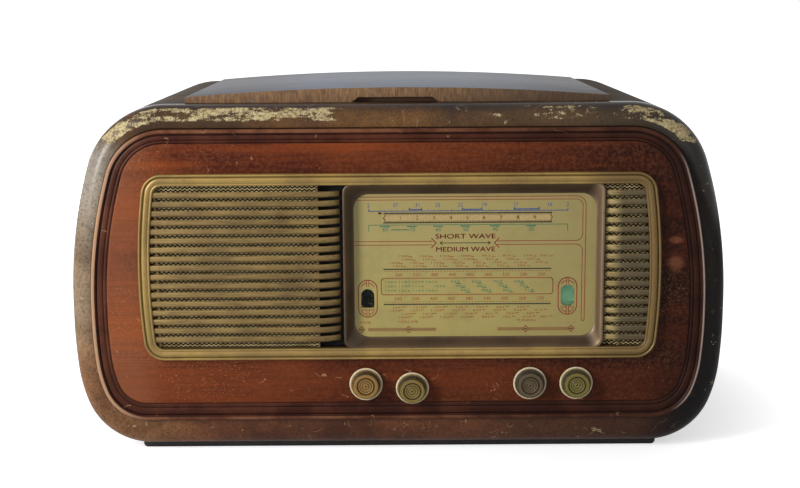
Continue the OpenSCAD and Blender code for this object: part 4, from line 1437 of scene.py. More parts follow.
@dataclass
class GiltFront:
    """The gilt frame with its two louvres, the mesh behind them and the bezel of the scale."""

    band_w: float = 11.5
    slat_pitch: float = SLAT_PITCH
    slat_h: float = 6
    slat_t: float = 2.4
    slat_count: int = 17
    slat_front: float = -25
    slat_lap: float = 1.5
    mesh_y: float = -21.2
    middle_z: float = 184.5

    def build(self) -> None:
        """Builds and dresses the whole gilt front."""
        # The band darkens at its right end as painted shade.
        band = GiltFinish(
            "gilt_band", "a5884b", "8c7241", "4f3d1e", 0.38, 0.45, 0.3, far="6d5630", far_from=(0.17, 0.22)
        )
        # The bezel is painted dark brown as the shade in its recess, and paler at its right end as painted
        # light.
        bezel = GiltFinish(
            "gilt_bezel", "5f4a35", "483726", "20160d", 0.4, 0.4, 0.3, far="8f775c", far_from=(0.185, 0.197)
        )
        left = GiltFinish("gilt_slats", "967c48", "7b643b", "432f16", 0.4, 0.4, 0.3, streaks=0.5)
        # The right slats are paler as a painted highlight on their bends, and darker on their flat outer
        # part as painted shade.
        right = GiltFinish(
            "right_slats", "b39d68", "927d4e", "3f2c14", 0.34, 0.4, 0.3, "4a4233", (0.21, 0.22), streaks=0.5
        )
        self.band(band.build())
        self.bezel(bezel.build())
        self.louvre("left_louvre", "left_grille", left.build(), -1, (-74.8, -56.0), 50)
        self.louvre("right_louvre", "right_grille", right.build(), 1, (213.9, 201.7), 42)
        mesh = WovenMetalFinish().build()
        dress("grille_mesh", mesh)
        self.backing(mesh)

    def backing(self, mesh: bpy.types.Material) -> None:
        """Makes the two strips that close the gap between each louvre and the bezel: a black one at the
        left, which stands for the shade between the bent slat ends, and one of mesh at the right.

        Args:
            mesh: The finish of the woven mesh, which goes on at the right.
        """
        # A black sheet as painted shade in the gap at the left.
        card = CoatedFinish("black_shade_card", "0f0c0a", "2a231c", 0.9, 200, 0.4, relief=0.1).build()
        low, high = 104.3, 264.7
        strip = block(spot(-78.5, -14.5, low), spot(-47.9, -13.9, high))
        finish_piece(strip, "left_shade_strip", card, "cabinet")
        strip = block(spot(199.2, -19.6, low), spot(213.5, -19.2, high))
        finish_piece(strip, "right_backing_strip", mesh, "cabinet")

    def band(self, gilt: bpy.types.Material) -> None:
        """Makes the fluted band round the front.

        Args:
            gilt: Its finish.
        """
        steps = (
            (0.0, -19.9, 0.2), (0.0, -25.6, 0.0), (0.35, -26.6, 0.0), (1.1, -27.0, 0.0),
            (1.9, -26.7, 0.0), (2.5, -25.8, 0.25), (2.9, -25.3, 0.75), (3.3, -25.6, 0.3),
            (4.0, -26.5, 0.0), (5.2, -26.95, 0.0), (6.6, -26.9, 0.0), (7.9, -26.6, 0.0),
            (8.7, -26.2, 0.15), (9.1, -26.0, 0.4), (9.5, -26.2, 0.1), (10.2, -26.4, 0.0),
            (10.9, -26.2, 0.0), (11.3, -25.5, 0.2), (11.5, -24.6, 0.6), (11.5, -19.9, 0.95),
        )
        rings = [ring_points(GILT_FRAME.points(inset, inset, inset), y) for inset, y, _ in steps]
        bm = skin(rings, [edge for _, _, edge in steps], True, False)
        piece = finish_piece(bm, "fluted_band", gilt, "cabinet", 50)
        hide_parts("escutcheon")

    def bezel(self, gilt: bpy.types.Material) -> None:
        """Makes the funnel that leads from the louvres down to the scale.

        Args:
            gilt: Its finish.
        """
        steps = (
            ((-53.7, 201.5, 102.0, 267.0, 9), -24.6, 0.3),
            ((-53.2, 201.0, 102.4, 266.6, 9), -25.2, 0.0),
            ((-52.0, 198.9, 103.2, 265.8, 8.5), -25.2, 0.0),
            ((-50.9, 198.3, 104.1, 264.9, 8.5), -24.4, 0.1),
            ((-49.3, 197.6, 106.0, 263.0, 10), -21.4, 0.25),
            ((-47.2, 196.5, 108.4, 260.2, 12), -17.6, 0.4),
            ((-45.4, 195.8, 110.2, 257.4, 13.5), -14.9, 0.3),
            ((-43.9, 195.1, 111.4, 255.6, 14.6), -13.3, 0.0),
            ((-43.4, 194.6, 111.9, 255.1, 14.6), -13.06, 0.5),
            ((-46.0, 197.0, 109.5, 257.5, 16), -13.06, 0.9),
        )
        rings = [ring_points(round_box(*shape, 10), y) for shape, y, _ in steps]
        bm = skin(rings, [edge for _, _, edge in steps], True, False)
        finish_piece(bm, "scale_bezel", gilt, "cabinet", 60)

    def louvre(
        self, name: str, node: str, gilt: bpy.types.Material, side: int, run: Point, lean: float
    ) -> None:
        """Makes one louvre: a stack of slats that turn inwards beside the scale.

        Args:
            name: The piece's name.
            node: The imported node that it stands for.
            gilt: Its finish.
            side: Minus one on the left and one on the right.
            run: Where a slat begins to turn, and where it ends.
            lean: How far its end leans back from its flat part, in degrees.
        """
        bend, end = run
        whole = bmesh.new()
        for i in range(self.slat_count):
            z = self.middle_z + (i - (self.slat_count - 1) / 2) * self.slat_pitch
            start = GILT_FRAME.middle + side * GILT_FRAME.side_at(self.band_w - self.slat_lap, z)
            y = self.slat_front
            outer = [(start, y)]
            inner = [(start, y + self.slat_t)]
            for k in range(9):
                t = math.radians(lean) * (0.3 + 0.34 * k / 8)
                x = bend + (end - bend) * k / 8
                outer.append((x, y))
                inner.append((x + side * self.slat_t * math.sin(t), y + self.slat_t * math.cos(t)))
                y += abs(end - bend) / 8 * math.tan(t)
            path = outer + inner[::-1]
            slat = bmesh.new()
            verts = [slat.verts.new(spot(x, y, -self.slat_h / 2)) for x, y in path]
            floor = slat.faces.new(verts)
            made = bmesh.ops.extrude_face_region(slat, geom=[floor])["geom"]
            top = [g for g in made if isinstance(g, bmesh.types.BMVert)]
            bmesh.ops.translate(slat, vec=(0, 0, self.slat_h * MM), verts=top)
            bmesh.ops.recalc_face_normals(slat, faces=slat.faces)
            soften(slat, 1.15, 60, 4)
            merge(whole, slat, (0, 0, z * MM))
        for x in self.ribs(side, bend):
            low = spot(x - 1, self.slat_front + self.slat_t - 0.2, 104)
            high = spot(x + 1, self.mesh_y, 265)
            merge(whole, block(low, high))
        piece = finish_piece(whole, name, gilt, "cabinet", 60)
        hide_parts(node)

    def ribs(self, side: int, bend: float) -> tuple[float, float]:
        """Gives the places of the two upright ribs behind a louvre."""
        return (bend - 4, -236.0) if side < 0 else (bend + 3, 240.0)


class Ink(Enum):
    """Colours of the print on the scale."""

    RED = "8c2f18"
    BLUE = "1e4480"
    GREEN = "1a6a4c"
    DARK = "1f1c0e"
    BROWN = "8b6a38"
    TAN = "b79c66"


@dataclass
class PrintedScale:
    """The glass of the tuning scale with its generic print, its windows and the flags behind them."""

    left: float = -43.7
    right: float = 194.9
    bottom: float = 111.6
    top: float = 255.4
    front: float = -13.0
    back: float = -10.0
    lap: float = 4.0
    thickness: float = 0.06
    weight: float = 1.35
    bold: float = 0.14

    def __post_init__(self) -> None:
        """Starts an empty print of each colour."""
        self.prints: dict[Ink, bmesh.types.BMesh] = {ink: bmesh.new() for ink in Ink}

    def build(self) -> None:
        """Builds the glass and prints it."""
        self.glass()
        self.wave_scales()
        self.frames_and_headings()
        self.medium_wave_rows()
        self.bottom_row()
        self.window_ornaments()
        for ink, bm in self.prints.items():
            colour = ink.name.lower()
            material = CoatedFinish("ink_" + colour, ink.value, "6f6a45", 0.5, 300, 0.2, coat=0.15).build()
            finish_piece(bm, "scale_print_" + colour, material, "cabinet")
        dress("tone_flag", FlagFinish("tone_flag_paint", "15191c", "b8b096", -0.0303, 0.143).build())
        dress("band_flag", FlagFinish("band_flag_paint", "9bd2ac", "b5573d", 0.1683, 0.145).build())

    def at(self, across: float, down: float) -> Vector:
        """Finds a place on the glass from its top left corner."""
        return spot(self.left + across, self.front - self.thickness / 2, self.top - down)

    def glass(self) -> None:
        """Makes the painted glass with a clear window in front of each flag."""
        lap = self.lap
        outline = round_box(self.left - lap, self.right + lap, self.bottom - lap, self.top + lap, 4)
        pane = plate(outline, self.front, self.back)
        windows = {"tone_window": self.left_window(), "band_window": self.right_window()}
        shapes = [[(self.left + u, self.top - v) for u, v in shape] for shape in windows.values()]
        pane = carve(pane, [plate(shape, self.front - 1, self.back + 1) for shape in shapes])
        piece = finish_piece(pane, "painted_glass", ScaleFinish().build(), "cabinet")
        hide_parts("dial_glass")
        clear = ClearFinish("clear_window", "f2f6f3", bend=1.12).build()
        for name, shape in zip(windows, shapes):
            window = plate(shape, self.front + 0.2, self.front + 0.7)
            finish_piece(window, name, clear, "cabinet")

    def left_window(self) -> list[Point]:
        """Draws the arched window of the tone flag.

        Returns:
            Its outline, across and down from the glass's top left.
        """
        middle, spring, sill, r = 13.3, 101.6, 114.2, 6.5
        turns = [math.pi * i / 12 for i in range(13)]
        arch = [(middle + r * math.cos(a), spring - r * math.sin(a)) for a in turns]
        return [*arch, (middle - r, sill), (middle + r, sill)]

    def right_window(self) -> list[Point]:
        """Draws the window of the band flag, with its corners cut off.

        Returns:
            Its outline, across and down from the glass's top left.
        """
        u0, u1, v0, v1, cut = 204.6, 218.0, 92.4, 113.2, 3.2
        above = [(u0 + cut, v0), (u1 - cut, v0), (u1, v0 + cut), (u1, v1 - cut)]
        below = [(u1 - cut, v1), (u0 + cut, v1), (u0, v1 - cut), (u0, v0 + cut)]
        return above + below

    def stroke(self, ink: Ink, points: list[Point], width: float, closed: bool = False) -> None:
        """Prints a line.

        Args:
            ink: Its colour.
            points: Its corners, across and down from the glass's top left.
            width: Its width.
            closed: Whether it runs back to its start.
        """
        path = points + points[:1] if closed else points
        width *= self.weight if width < 1 else 1
        for (ua, va), (ub, vb) in zip(path, path[1:]):
            length = math.hypot(ub - ua, vb - va)
            if length < 0.01:
                continue
            bar = bmesh.new()
            bmesh.ops.create_cube(bar, size=1)
            size = ((length + width * 0.6) * MM, self.thickness * MM, width * MM)
            bmesh.ops.scale(bar, vec=size, verts=bar.verts)
            turn(bar, math.atan2(vb - va, ub - ua), "Y")
            merge(self.prints[ink], bar, self.at((ua + ub) / 2, (va + vb) / 2))

    def write(self, ink: Ink, text: str, across: float, down: float, height: float, wide: float = 1) -> None:
        """Prints a number or a plain word, centred on a place.

        Args:
            ink: Its colour.
            text: What it says.
            across: Its middle, across.
            down: Its middle, down.
            height: Height of its letters.
            wide: How much wider than usual it is.
        """
        curve = bpy.data.curves.new("word", "FONT")
        curve.body = text
        curve.align_x = "CENTER"
        curve.align_y = "CENTER"
        curve.size = height * 1.38 * MM
        curve.extrude = self.thickness / 2 * MM
        curve.resolution_u = 3
        word = bpy.data.objects.new("word", curve)
        bpy.context.scene.collection.objects.link(word)
        bpy.context.view_layer.update()
        mesh = bpy.data.meshes.new_from_object(word.evaluated_get(bpy.context.evaluated_depsgraph_get()))
        letters = bmesh.new()
        letters.from_mesh(mesh)
        bpy.data.objects.remove(word)
        bpy.data.meshes.remove(mesh)
        bmesh.ops.scale(letters, vec=(wide, 1, 1), verts=letters.verts)
        turn(letters, math.pi / 2, "X")
        if height > 4.5:
            merge(self.prints[ink], letters.copy(), self.at(across + self.bold, down - self.bold))
        merge(self.prints[ink], letters, self.at(across - self.bold, down + self.bold / 2))

    def wave_scales(self) -> None:
        """Prints the upper scales: the blue one, the tan bar and the green one."""
        self.stroke(Ink.BLUE, [(15, 15.2), (15, 17.2), (210.3, 17.2), (210.3, 15.2)], 0.6)
        for u in (15, 210.3):
            self.write(Ink.BLUE, "2", u, 11.6, 4.2)
        places = (41.3, 63.3, 83, 104.8, 128.4, 159, 192.6)
        for text, u in zip(("37", "31", "25", "22", "19", "17", "16"), places):
            self.write(Ink.BLUE, text, u, 11.4, 3.8)
        for u0, u1 in ((55, 67), (107, 126), (158, 182)):
            self.stroke(Ink.BLUE, [(u0, 14.2), (u0, 15.8), (u1, 15.8), (u1, 14.2)], 0.8)
        for i in range(27):
            self.stroke(Ink.BLUE, [(31 + 6 * i, 16.2), (31 + 6 * i, 17.2)], 0.35)
        self.stroke(Ink.DARK, [(29.8, 19.4), (194.5, 19.4)], 1.3)
        self.stroke(Ink.DARK, [(29.8, 28.7), (194.5, 28.7)], 1.3)
        self.stroke(Ink.TAN, [(30.5, 24.05), (194, 24.05)], 6.6)
        for v in (20.9, 27.2):
            for i in range(54):
                self.stroke(Ink.RED, [(31.5 + 3.05 * i, v), (32.6 + 3.05 * i, v)], 0.5)
        for i in range(9):
            self.write(Ink.RED, str(i + 1), 46.3 + 16.45 * i, 24.1, 3.6, 1.3)
        self.stroke(Ink.RED, [(31.4, 21), (29.6, 24.1), (31.4, 27.2)], 0.6)
        self.stroke(Ink.RED, [(193.4, 21), (195.2, 24.1), (193.4, 27.2)], 0.6)
        self.stroke(Ink.GREEN, [(15, 37.4), (15, 31), (210.3, 31), (210.3, 37.4)], 0.5)
        places = (31.5, 58, 83.7, 110.4, 139.3, 174.8)
        for text, u in zip(("85", "70", "60", "50", "40", "30"), places):
            self.write(Ink.GREEN, text, u, 35.6, 4.2)
            self.stroke(Ink.GREEN, [(u - 5, 32.4), (u + 4, 32.4)], 0.8)
        for i in range(8):
            self.stroke(Ink.GREEN, [(37.5 + 2.2 * i, 35.8), (38.9 + 2.2 * i, 35.8)], 1.0)
        self.blot(26, 19, 2.2)

    def blot(self, across: float, down: float, r: float) -> None:
        """Prints the small stain beside the bar.

        Args:
            across: Its middle, across.
            down: Its middle, down.
            r: Its reach to either side.
        """
        for width, shift in ((r, 0), (0.65 * r, 0.5)):
            self.stroke(Ink.BROWN, [(across - r / 2, down + shift), (across + r / 2, down + shift)], width)

    def frames_and_headings(self) -> None:
        """Prints the double red frames and the two headings between them."""
        for points, r, width in (
            ([(1, 3.2), (228.1, 3.2), (228.1, 127)], 9, 0.6),
            ([(1, 6.2), (225.1, 6.2), (225.1, 47.4), (141.5, 47.4)], 6.5, 0.55),
            ([(141.5, 51), (225.1, 51), (225.1, 127)], 6.5, 0.55),
        ):
            self.stroke(Ink.RED, bend_corners(points, r), width)
        self.stroke(Ink.RED, [(225.1, 127), (225.9, 128.5), (227.3, 128.5), (228.1, 127)], 0.55)
        for v in (47.4, 51):
            self.stroke(Ink.RED, [(1, v), (77.4, v)], 0.55)
        self.stroke(Ink.RED, [(76.6, 44.4), (81, 49.2), (76.6, 54)], 0.8)
        self.stroke(Ink.RED, [(143, 44.4), (138.6, 49.2), (143, 54)], 0.8)
        self.stroke(Ink.DARK, [(85.5, 49.2), (134, 49.2)], 0.5)
        for u, s in ((85, 1), (134.5, -1)):
            self.stroke(Ink.DARK, [(u + 2.4 * s, 47.6), (u, 49.2), (u + 2.4 * s, 50.8)], 0.5)
        self.write(Ink.RED, "SHORT WAVE", 110, 42.8, 4.9, 1.4)
        self.write(Ink.RED, "MEDIUM WAVE", 110, 55.8, 4.9, 1.27)

    def medium_wave_rows(self) -> None:
        """Prints the rows of small numbers, their two dark lines and the red box between them."""
        for v in (75.3, 110.8):
            self.stroke(Ink.DARK, [(29.5, v), (194.3, v)], 1.3)
        for v in (77.6, 108.4):
            for i in range(54):
                self.stroke(Ink.RED, [(31 + 3.05 * i, v), (32 + 3.05 * i, v)], 0.5)
        for i in range(9):
            u = 44.5 + 17.6 * i
            self.write(Ink.RED, str(560 - 40 * i), u, 81, 3.3, 1.1)
            self.write(Ink.RED, str(540 - 40 * i), u - 1, 105.2, 3.3, 1.1)
        for row, (v, shift) in enumerate(((62.2, 9), (65.6, 4.5), (69, 0), (72.2, -5))):
            odd = row % 2
            for i in range(8 - odd):
                number = 1500 - 137 * i - 31 * row
                u = min(40 + shift + 20.4 * i + 8 * odd, 188)
                for shown, down, line in ((number, v, v + 0.6), (number - 60, 186.3 - v, 185.7 - v)):
                    self.write(Ink.RED, str(shown), u, down, 2.0, 2.0)
                    self.stroke(Ink.RED, [(u + 5.4, line), (u + 8.4, line)], 0.5)
        self.stroke(Ink.RED, round_box(26.8, 196.5, 84.4, 101.0, 3, 6), 0.6, True)
        for k, v in enumerate((88.2, 92.6, 97)):
            for i in range(8):
                u = (36 + 13.5 * i) if i < 4 - k % 2 else (100 + 21 * (i - 4) + 5 * k)
                self.write(Ink.GREEN, str(1265 - 83 * i + 17 * k), u, v, 2.2, 2.1)
                if i > 3:
                    self.stroke(Ink.GREEN, [(u + 1, v + 1.8), (u + 5, v + 1.8)], 0.6)

    def bottom_row(self) -> None:
        """Prints the brown bar with its red diamonds and the numbers over it."""
        for u0, u1 in ((14.5, 49.5), (57.5, 80), (143, 166), (174, 211.5)):
            self.stroke(Ink.BROWN, [(u0, 136.4), (u1, 136.4)], 3.4)
        for u in (7.1, 53.5, 169.9, 215.2):
            self.stroke(Ink.RED, [(u - 3, 136.4), (u, 133.2), (u + 3, 136.4), (u, 139.6)], 0.7, True)
            self.stroke(Ink.DARK, [(u - 0.9, 136.4), (u + 0.9, 136.4)], 1.4)
        self.write(Ink.RED, "VOLUME", 53.5, 128.6, 2.5, 1.5)
        self.write(Ink.RED, "TUNING", 170.5, 127.6, 2.5, 1.5)
        self.write(Ink.RED, "TONE", 10.5, 129.2, 2.4, 1.3)
        for i, u in enumerate((206.5, 212.5, 218.5)):
            self.write(Ink.RED, str(i + 1), u, 130, 2.1)

    def window_ornaments(self) -> None:
        """Prints the rounded red frames and the fretwork round the two windows."""
        for u0, u1, v0, v1 in ((4.1, 22.7, 86.1, 123.6), (202.0, 220.4, 84.6, 121.8)):
            self.stroke(Ink.RED, round_box(u0, u1, v0, v1, 9, 6), 0.75, True)
            for s in (-1, 1):
                u = (u0 + u1) / 2 + s * 1.1
                arc = [(s * 5.4 * math.sin(a), 5.4 * math.cos(a)) for a in (0, 0.4, 0.8, 1.2)]
                for line in (
                    [(u, v0 + 0.8), (u, v0 + 6.6)],
                    [(u, v1 - 0.8), (u, v1 - 8)],
                    [(u + across, v0 + 8.6 - down) for across, down in arc],
                    [(u, v1 - 7.4), (u + s * 5.5, v1 - 7.4)],
                    [(u + across, v1 - 8.2 + down) for across, down in arc],
                ):
                    self.stroke(Ink.RED, line, 0.6)


@dataclass
class Knobs:
    """The four turned and ribbed knobs on their shafts."""

    chassis: float = 30
    front: float = -34
    droop: float = 4.7
    ribs: int = 40

    def build(self) -> None:
        """Builds and dresses the four knobs."""
        rows = (
            ("tone", 0.0, "8f6c34"), ("volume", self.droop, "7e6a32"),
            ("tuning", 0.0, "584a34"), ("band", 0.0, "70672f"),
        )
        for x, (name, tilt, face) in zip(KNOB_PLACES, rows):
            finish = KnobFinish(name + "_knob_plastic", face).build()
            bm = self.shape()
            bmesh.ops.translate(bm, vec=(0, (self.front - self.chassis) * MM, 0), verts=bm.verts)
            turn(bm, math.radians(tilt), "X")
            bmesh.ops.translate(bm, vec=spot(x, self.chassis, KNOB_Z), verts=bm.verts)
            piece = finish_piece(bm, name + "_knob_ribbed", finish, name + "_spindle", 40)
            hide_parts(name + "_knob")

    def shape(self) -> bmesh.types.BMesh:
        """Turns one knob and presses its ribs.

        Returns:
            The knob, its front at the origin.
        """
        profile = [
            (0, 1.0), (0.7, 0.9), (1.2, 0.35), (2.6, 0.3), (3.3, 0.75), (3.9, 0.4), (5.0, 0.35),
            (5.6, 0.9), (6.2, 0.4), (7.3, 0.35), (7.9, 1.1), (8.7, 1.0), (9.2, 0.25), (10.9, 0.0),
            (12.0, 0.3), (12.4, 0.9), (12.3, 1.4), (12.7, 1.8), (12.7, 8.2), (12.4, 8.8), (13.0, 9.2),
            (15.6, 9.35), (16.35, 9.8), (16.5, 10.6), (16.2, 11.6), (15.6, 12.0), (3.2, 12.0),
            (3.0, 11.7), (3.0, 3.2), (0, 3.0),
        ]
        bm = turned(profile, self.ribs * 2)
        used = bm.verts.layers.float.new("edge")
        for vert in bm.verts:
            r = math.hypot(vert.co.x, vert.co.z) / MM
            y = vert.co.y / MM
            if 1.6 < y < 8.5 and 12.5 < r < 12.8:
                column = round(math.atan2(vert.co.z, vert.co.x) / math.tau * self.ribs * 2)
                grown = 1.035 if column % 2 else 0.965
                vert.co.x *= grown
                vert.co.z *= grown
                vert[used] = 0.5 if column % 2 else 1.0
            elif 0.8 < y < 1.9 and 12.2 < r < 12.8:
                vert[used] = 1.0
            elif y < 1.5 and r < 12.5:
                vert[used] = 0.9 if y > 0.7 else 0.35
            elif 8.5 < y < 9.3 and r < 14:
                vert[used] = 0.9
        return bm


@dataclass
class Lid:
    """The crowned lid with its finger notch."""

    width: float = 417.5
    depth: float = 308
    end_t: float = 6
    crown: float = 8.5
    front: float = 11
    top: float = 343
    notch_x: float = -2
    hinge_x: float = 130

    def build(self) -> None:
        """Builds and dresses the lid and its hinges."""
        back = self.front + self.depth
        rings = []
        for i in range(49):
            t = math.sin(math.pi / 2 * (i - 24) / 24)
            x = t * self.width / 2
            h = self.end_t + self.crown * (1 - t * t)
            arris = 1.3 if abs(t) < 0.999 else 1.6
            half = [(0.3, 0), (0, 0.3), (0, h - arris), (0.4, h - arris * 0.3), (arris, h)]
            section = [(self.front + inward, up) for inward, up in half]
            section += [(back - inward, up) for inward, up in reversed(half)]
            rings.append([spot(x, y, self.top + up) for y, up in section])
        bm = skin(rings, [0.0] * len(rings), False, True)
        notch = [(-43, -1), (43, -1), (43, 0), (36.5, 5), (-36.5, 5), (-43, 0)]
        notch = [(self.notch_x + across, self.top + up) for across, up in notch]
        cutters = [plate(notch, self.front - 1, self.front + 12)]
        for x in (-self.hinge_x, self.hinge_x):
            low, high = spot(x - 30.5, back - 24, self.top - 1), spot(x + 30.5, back + 1, self.top + 2.2)
            cutters.append(block(low, high))
        bm = carve(bm, cutters)
        piece = finish_piece(bm, "crowned_lid", LidFinish().build(), "lid", 40)
        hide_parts("lid_board")
        brass = GiltFinish("hinge_brass", "8d7844", "63532f", "2e2617", 0.4, 0.9, 0.5).build()
        refined(["hinge_fixed_leaves", "hinge_moving_leaves"], brass, 0.2)


@dataclass
class RecordPlayer:
    """The turntable, its motor and the pickup arm in the well under the lid."""

    def build(self) -> None:
        """Dresses every piece of the record player."""
        enamel = CoatedFinish("brown_enamel", "4a3527", "2c2019", 0.32, 70, metal=0.1, coat=0.4).build()
        refined(["turntable_motor", "arm_supports"], enamel, 0.4)
        arm = CoatedFinish("arm_enamel", "6a5038", "3c2c20", 0.3, 80, 0.45, metal=0.15, coat=0.5).build()
        refined(["arm_swivel", "tonearm"], arm, 0.35)
        bakelite = CoatedFinish("pickup_bakelite", "2a1710", "4a2c1e", 0.22, 60, coat=0.6).build()
        refined(["pickup_head"], bakelite, 1.2, 20)
        alloy = CoatedFinish("turned_alloy", "a5a6a3", "75756f", 0.34, 50, 0.4, metal=0.9).build()
        refined(["platter"], alloy, 0.5)
        flock = CoatedFinish("ribbed_rubber_mat", "3b2620", "5a4238", 0.85, 140, relief=0.3).build()
        refined(["platter_mat"], flock, 0.4)
        steel = CoatedFinish("bright_steel", "b9b8b2", "83817a", 0.22, 60, 0.3, metal=0.95).build()
        refined(["spindle"], steel, 0.15)


@dataclass
class Works:
    """The chassis with its valves, the scale's drive, the loudspeaker and the sockets at the back."""

    def build(self) -> None:
        """Dresses every piece of the works."""
        steel = CoatedFinish("dull_plating", "8f8f88", "5c574d", 0.4, 80, metal=0.85).build()
        refined(["tone_shaft", "volume_shaft", "tuning_shaft", "band_shaft", "pointer_rail"], steel, 0.15)
        refined(["tone_control", "volume_control", "tuning_capacitor_frame", "machine_bolts"], steel, 0.2)
        sheet = CoatedFinish("chassis_plating", "9a978a", "6a6353", 0.46, 40, 0.6, metal=0.6).build()
        refined(["chassis"], sheet, 0.3)
        cream = CoatedFinish("cream_paint", "c9c1a4", "9a8f70", 0.6, 60).build()
        dress("dial_backplate", cream)
        black = CoatedFinish("black_lacquer", "191817", "3d3832", 0.4, 70, metal=0.2, coat=0.2).build()
        refined(["power_transformer", "output_transformer", "speaker_frame", "speaker_magnet"], black, 0.6)
        bakelite = CoatedFinish("dark_bakelite", "20130e", "3d2a20", 0.25, 80, coat=0.5).build()
        refined(["valve_bases", "voltage_plug"], bakelite, 0.5)
        laminate = CoatedFinish("paper_laminate", "6b3f1d", "8a5a30", 0.4, 120, 0.6, coat=0.2).build()
        refined(["terminal_plate", "band_switch"], laminate, 0.3)
        cans = CoatedFinish("dull_aluminium", "a9a9a4", "77756c", 0.42, 60, metal=0.85).build()
        refined(["chassis_cans", "tuning_rotor"], cans, 0.4)
        brass = GiltFinish("dull_brass", "a08647", "75602f", "3a2d15", 0.35, 0.9, 0.35).build()
        refined(["tuning_bush", "idler_left", "idler_right"], brass, 0.15)
        red = CoatedFinish("pointer_red", "9c2f1d", "6d2014", 0.4, 90, 0.4, coat=0.3).build()
        refined(["pointer"], red, 0.1)
        rubber = CoatedFinish("old_rubber", "1b1917", "38332e", 0.7, 150, relief=0.15).build()
        refined(["mains_grommet"], rubber, 0.4)
        paper = CoatedFinish("cone_paper", "2e2822", "4a4138", 0.95, 300, 0.6, relief=0.2).build()
        refined(["speaker_cone"], paper, 0.2)
        refined(["valve_envelopes"], ClearFinish("valve_glass", "d5dcd8").build(), 0.3)
        lamp = CoatedFinish("lamp_glass", "cfc08a", "9d8f60", 0.3, 60, 0.3, coat=0.4).build()
        refined(["dial_lamps"], lamp, 0.2)
        self.cords()

    def cords(self) -> None:
        """Makes the round cords of the scale's drive."""
        cord = CoatedFinish("twisted_cord", "8b8163", "4f4830", 0.9, 900, 0.8, relief=0.2).build()
        loops = (
            ([(71.7, 114, 67), (KNOB_PLACES[2], KNOB_Z, 4), (204.4, 252, 5), (-53.2, 252, 5)], 5.2),
            ([(KNOB_PLACES[0], KNOB_Z, 8), (-30.3, 136, 8)], 11.0),
            ([(KNOB_PLACES[3], KNOB_Z, 8), (168.3, 138, 8)], 11.0),
        )
        whole = bmesh.new()
        for wheels, y in loops:
            path = [spot(x, y, z) for x, z in cord_path(wheels)]
            merge(whole, round_loop(path, 0.38))
        piece = finish_piece(whole, "drive_cords", cord, "cabinet", 60)
        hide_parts("dial_cords")


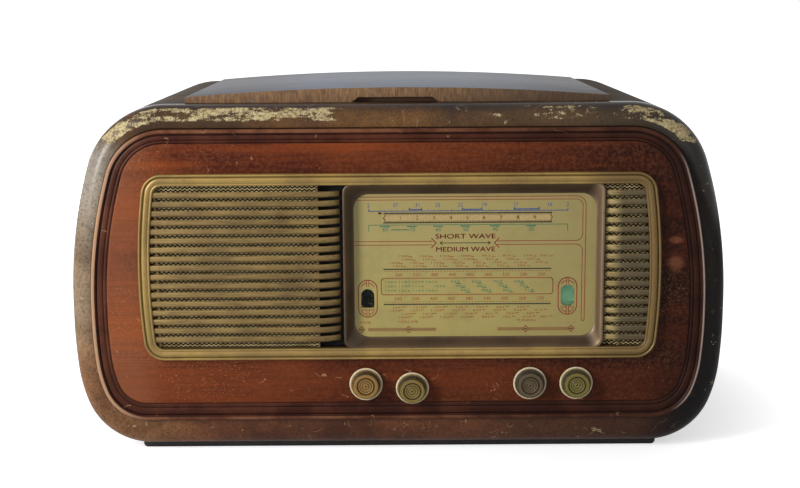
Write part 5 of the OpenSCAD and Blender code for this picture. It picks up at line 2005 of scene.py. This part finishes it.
@dataclass(frozen=True)
class Studio:
    """The camera at the photograph's angle, the pale floor and the lamps."""

    focal: float = 1350
    image_w: float = 800
    pitch: float = 10.25
    roll: float = 0.36
    distance: float = 1320
    across: float = 1.9
    above: float = 441.8

    def build(self) -> None:
        """Sets up the camera, the floor and the light."""
        self.camera()
        self.floor()
        self.sky()
        self.lamp("key_lamp", (-1.6, -1.4, 0.95), (0, -0.18, 0.17), (0.5, 1.3), 42)
        self.lamp("fill_lamp", (1.3, -1.9, 1.0), (0.1, -0.18, 0.15), (1.2, 1.2), 1.5)
        self.lamp("back_lamp", (-1.4, 2.0, 0.9), (0, 0.1, 0.2), (1.0, 1.0), 14)
        bpy.context.scene.view_settings.view_transform = "Standard"

    def camera(self) -> None:
        """Places the camera."""
        data = bpy.data.cameras.new("photo_camera")
        data.sensor_width = 36
        data.lens = 36 * self.focal / self.image_w
        data.clip_end = 50
        camera = bpy.data.objects.new("photo_camera", data)
        bpy.context.scene.collection.objects.link(camera)
        tilt = Matrix.Rotation(math.radians(90 - self.pitch), 4, "X")
        roll = Matrix.Rotation(math.radians(-self.roll), 4, "Z")
        place = Matrix.Translation(spot(self.across, -self.distance, self.above))
        camera.matrix_world = place @ tilt @ roll
        bpy.context.scene.camera = camera

    def floor(self) -> None:
        """Lays the pale floor, which is white to the camera away from the object."""
        bm = bmesh.new()
        bmesh.ops.create_grid(bm, x_segments=1, y_segments=1, size=8)
        mesh = bpy.data.meshes.new("pale_floor")
        bm.to_mesh(mesh)
        bm.free()
        floor = bpy.data.objects.new("pale_floor", mesh)
        bpy.context.scene.collection.objects.link(floor)
        recipe = Recipe("pale_floor")
        recipe.surface(Base_Color="f2f4f7", Roughness=0.9, Specular_IOR_Level=0.1)
        x, y, _ = recipe.axes
        reach = recipe.math("SQRT", x * x + y * y)
        tree = recipe.tree
        seen = Value(recipe, tree.nodes.new("ShaderNodeLightPath").outputs["Is Camera Ray"])
        glow = tree.nodes.new("ShaderNodeEmission")
        glow.inputs["Color"].default_value = (1, 1, 1, 1)
        recipe.set(glow.inputs["Strength"], seen * reach.ramp(0.3, 0.52).level(0.58, 1.0))
        both = tree.nodes.new("ShaderNodeAddShader")
        tree.links.new(recipe.shader.outputs[0], both.inputs[0])
        tree.links.new(glow.outputs[0], both.inputs[1])
        tree.links.new(both.outputs[0], tree.nodes["Material Output"].inputs["Surface"])
        mesh.materials.append(recipe.material)

    def sky(self) -> None:
        """Sets the world: white behind the object and in its gloss, softer on its surfaces."""
        world = bpy.data.worlds.new("studio")
        bpy.context.scene.world = world
        world.use_nodes = True
        nodes, links = world.node_tree.nodes, world.node_tree.links
        mixed = nodes.new("ShaderNodeMixShader")
        for i, strength in ((1, 0.22), (2, 1.0)):
            shade = nodes.new("ShaderNodeBackground")
            shade.inputs["Color"].default_value = (1, 1, 1, 1)
            shade.inputs["Strength"].default_value = strength
            links.new(shade.outputs[0], mixed.inputs[i])
        path = nodes.new("ShaderNodeLightPath")
        white = path.outputs["Is Camera Ray"]
        for ray in ("Is Transmission Ray", "Is Glossy Ray"):
            either = nodes.new("ShaderNodeMath")
            either.operation = "MAXIMUM"
            links.new(white, either.inputs[0])
            links.new(path.outputs[ray], either.inputs[1])
            white = either.outputs[0]
        links.new(white, mixed.inputs[0])
        output = next(n for n in nodes if n.type == "OUTPUT_WORLD")
        links.new(mixed.outputs[0], output.inputs["Surface"])

    def lamp(self, name: str, place: Triple, aim: Triple, size: Point, power: float) -> None:
        """Hangs one soft lamp.

        Args:
            name: Its name.
            place: Where it hangs, in metres.
            aim: What it points at, in metres.
            size: Width and height of its face, in metres.
            power: Its power, in watts.
        """
        data = bpy.data.lights.new(name, "AREA")
        data.shape = "RECTANGLE"
        data.size, data.size_y = size
        data.energy = power
        lamp = bpy.data.objects.new(name, data)
        bpy.context.scene.collection.objects.link(lamp)
        lamp.location = place
        lamp.rotation_mode = "QUATERNION"
        lamp.rotation_quaternion = (Vector(aim) - Vector(place)).to_track_quat("-Z", "Y")


def main() -> None:
    """Builds the receiver piece by piece."""
    logging.basicConfig(level=logging.INFO, format="%(message)s")
    FRAME.update(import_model())
    Studio().build()
    Cabinet().build()
    GiltFront().build()
    PrintedScale().build()
    Knobs().build()
    Lid().build()
    RecordPlayer().build()
    Works().build()


if __name__ == "__main__":
    main()
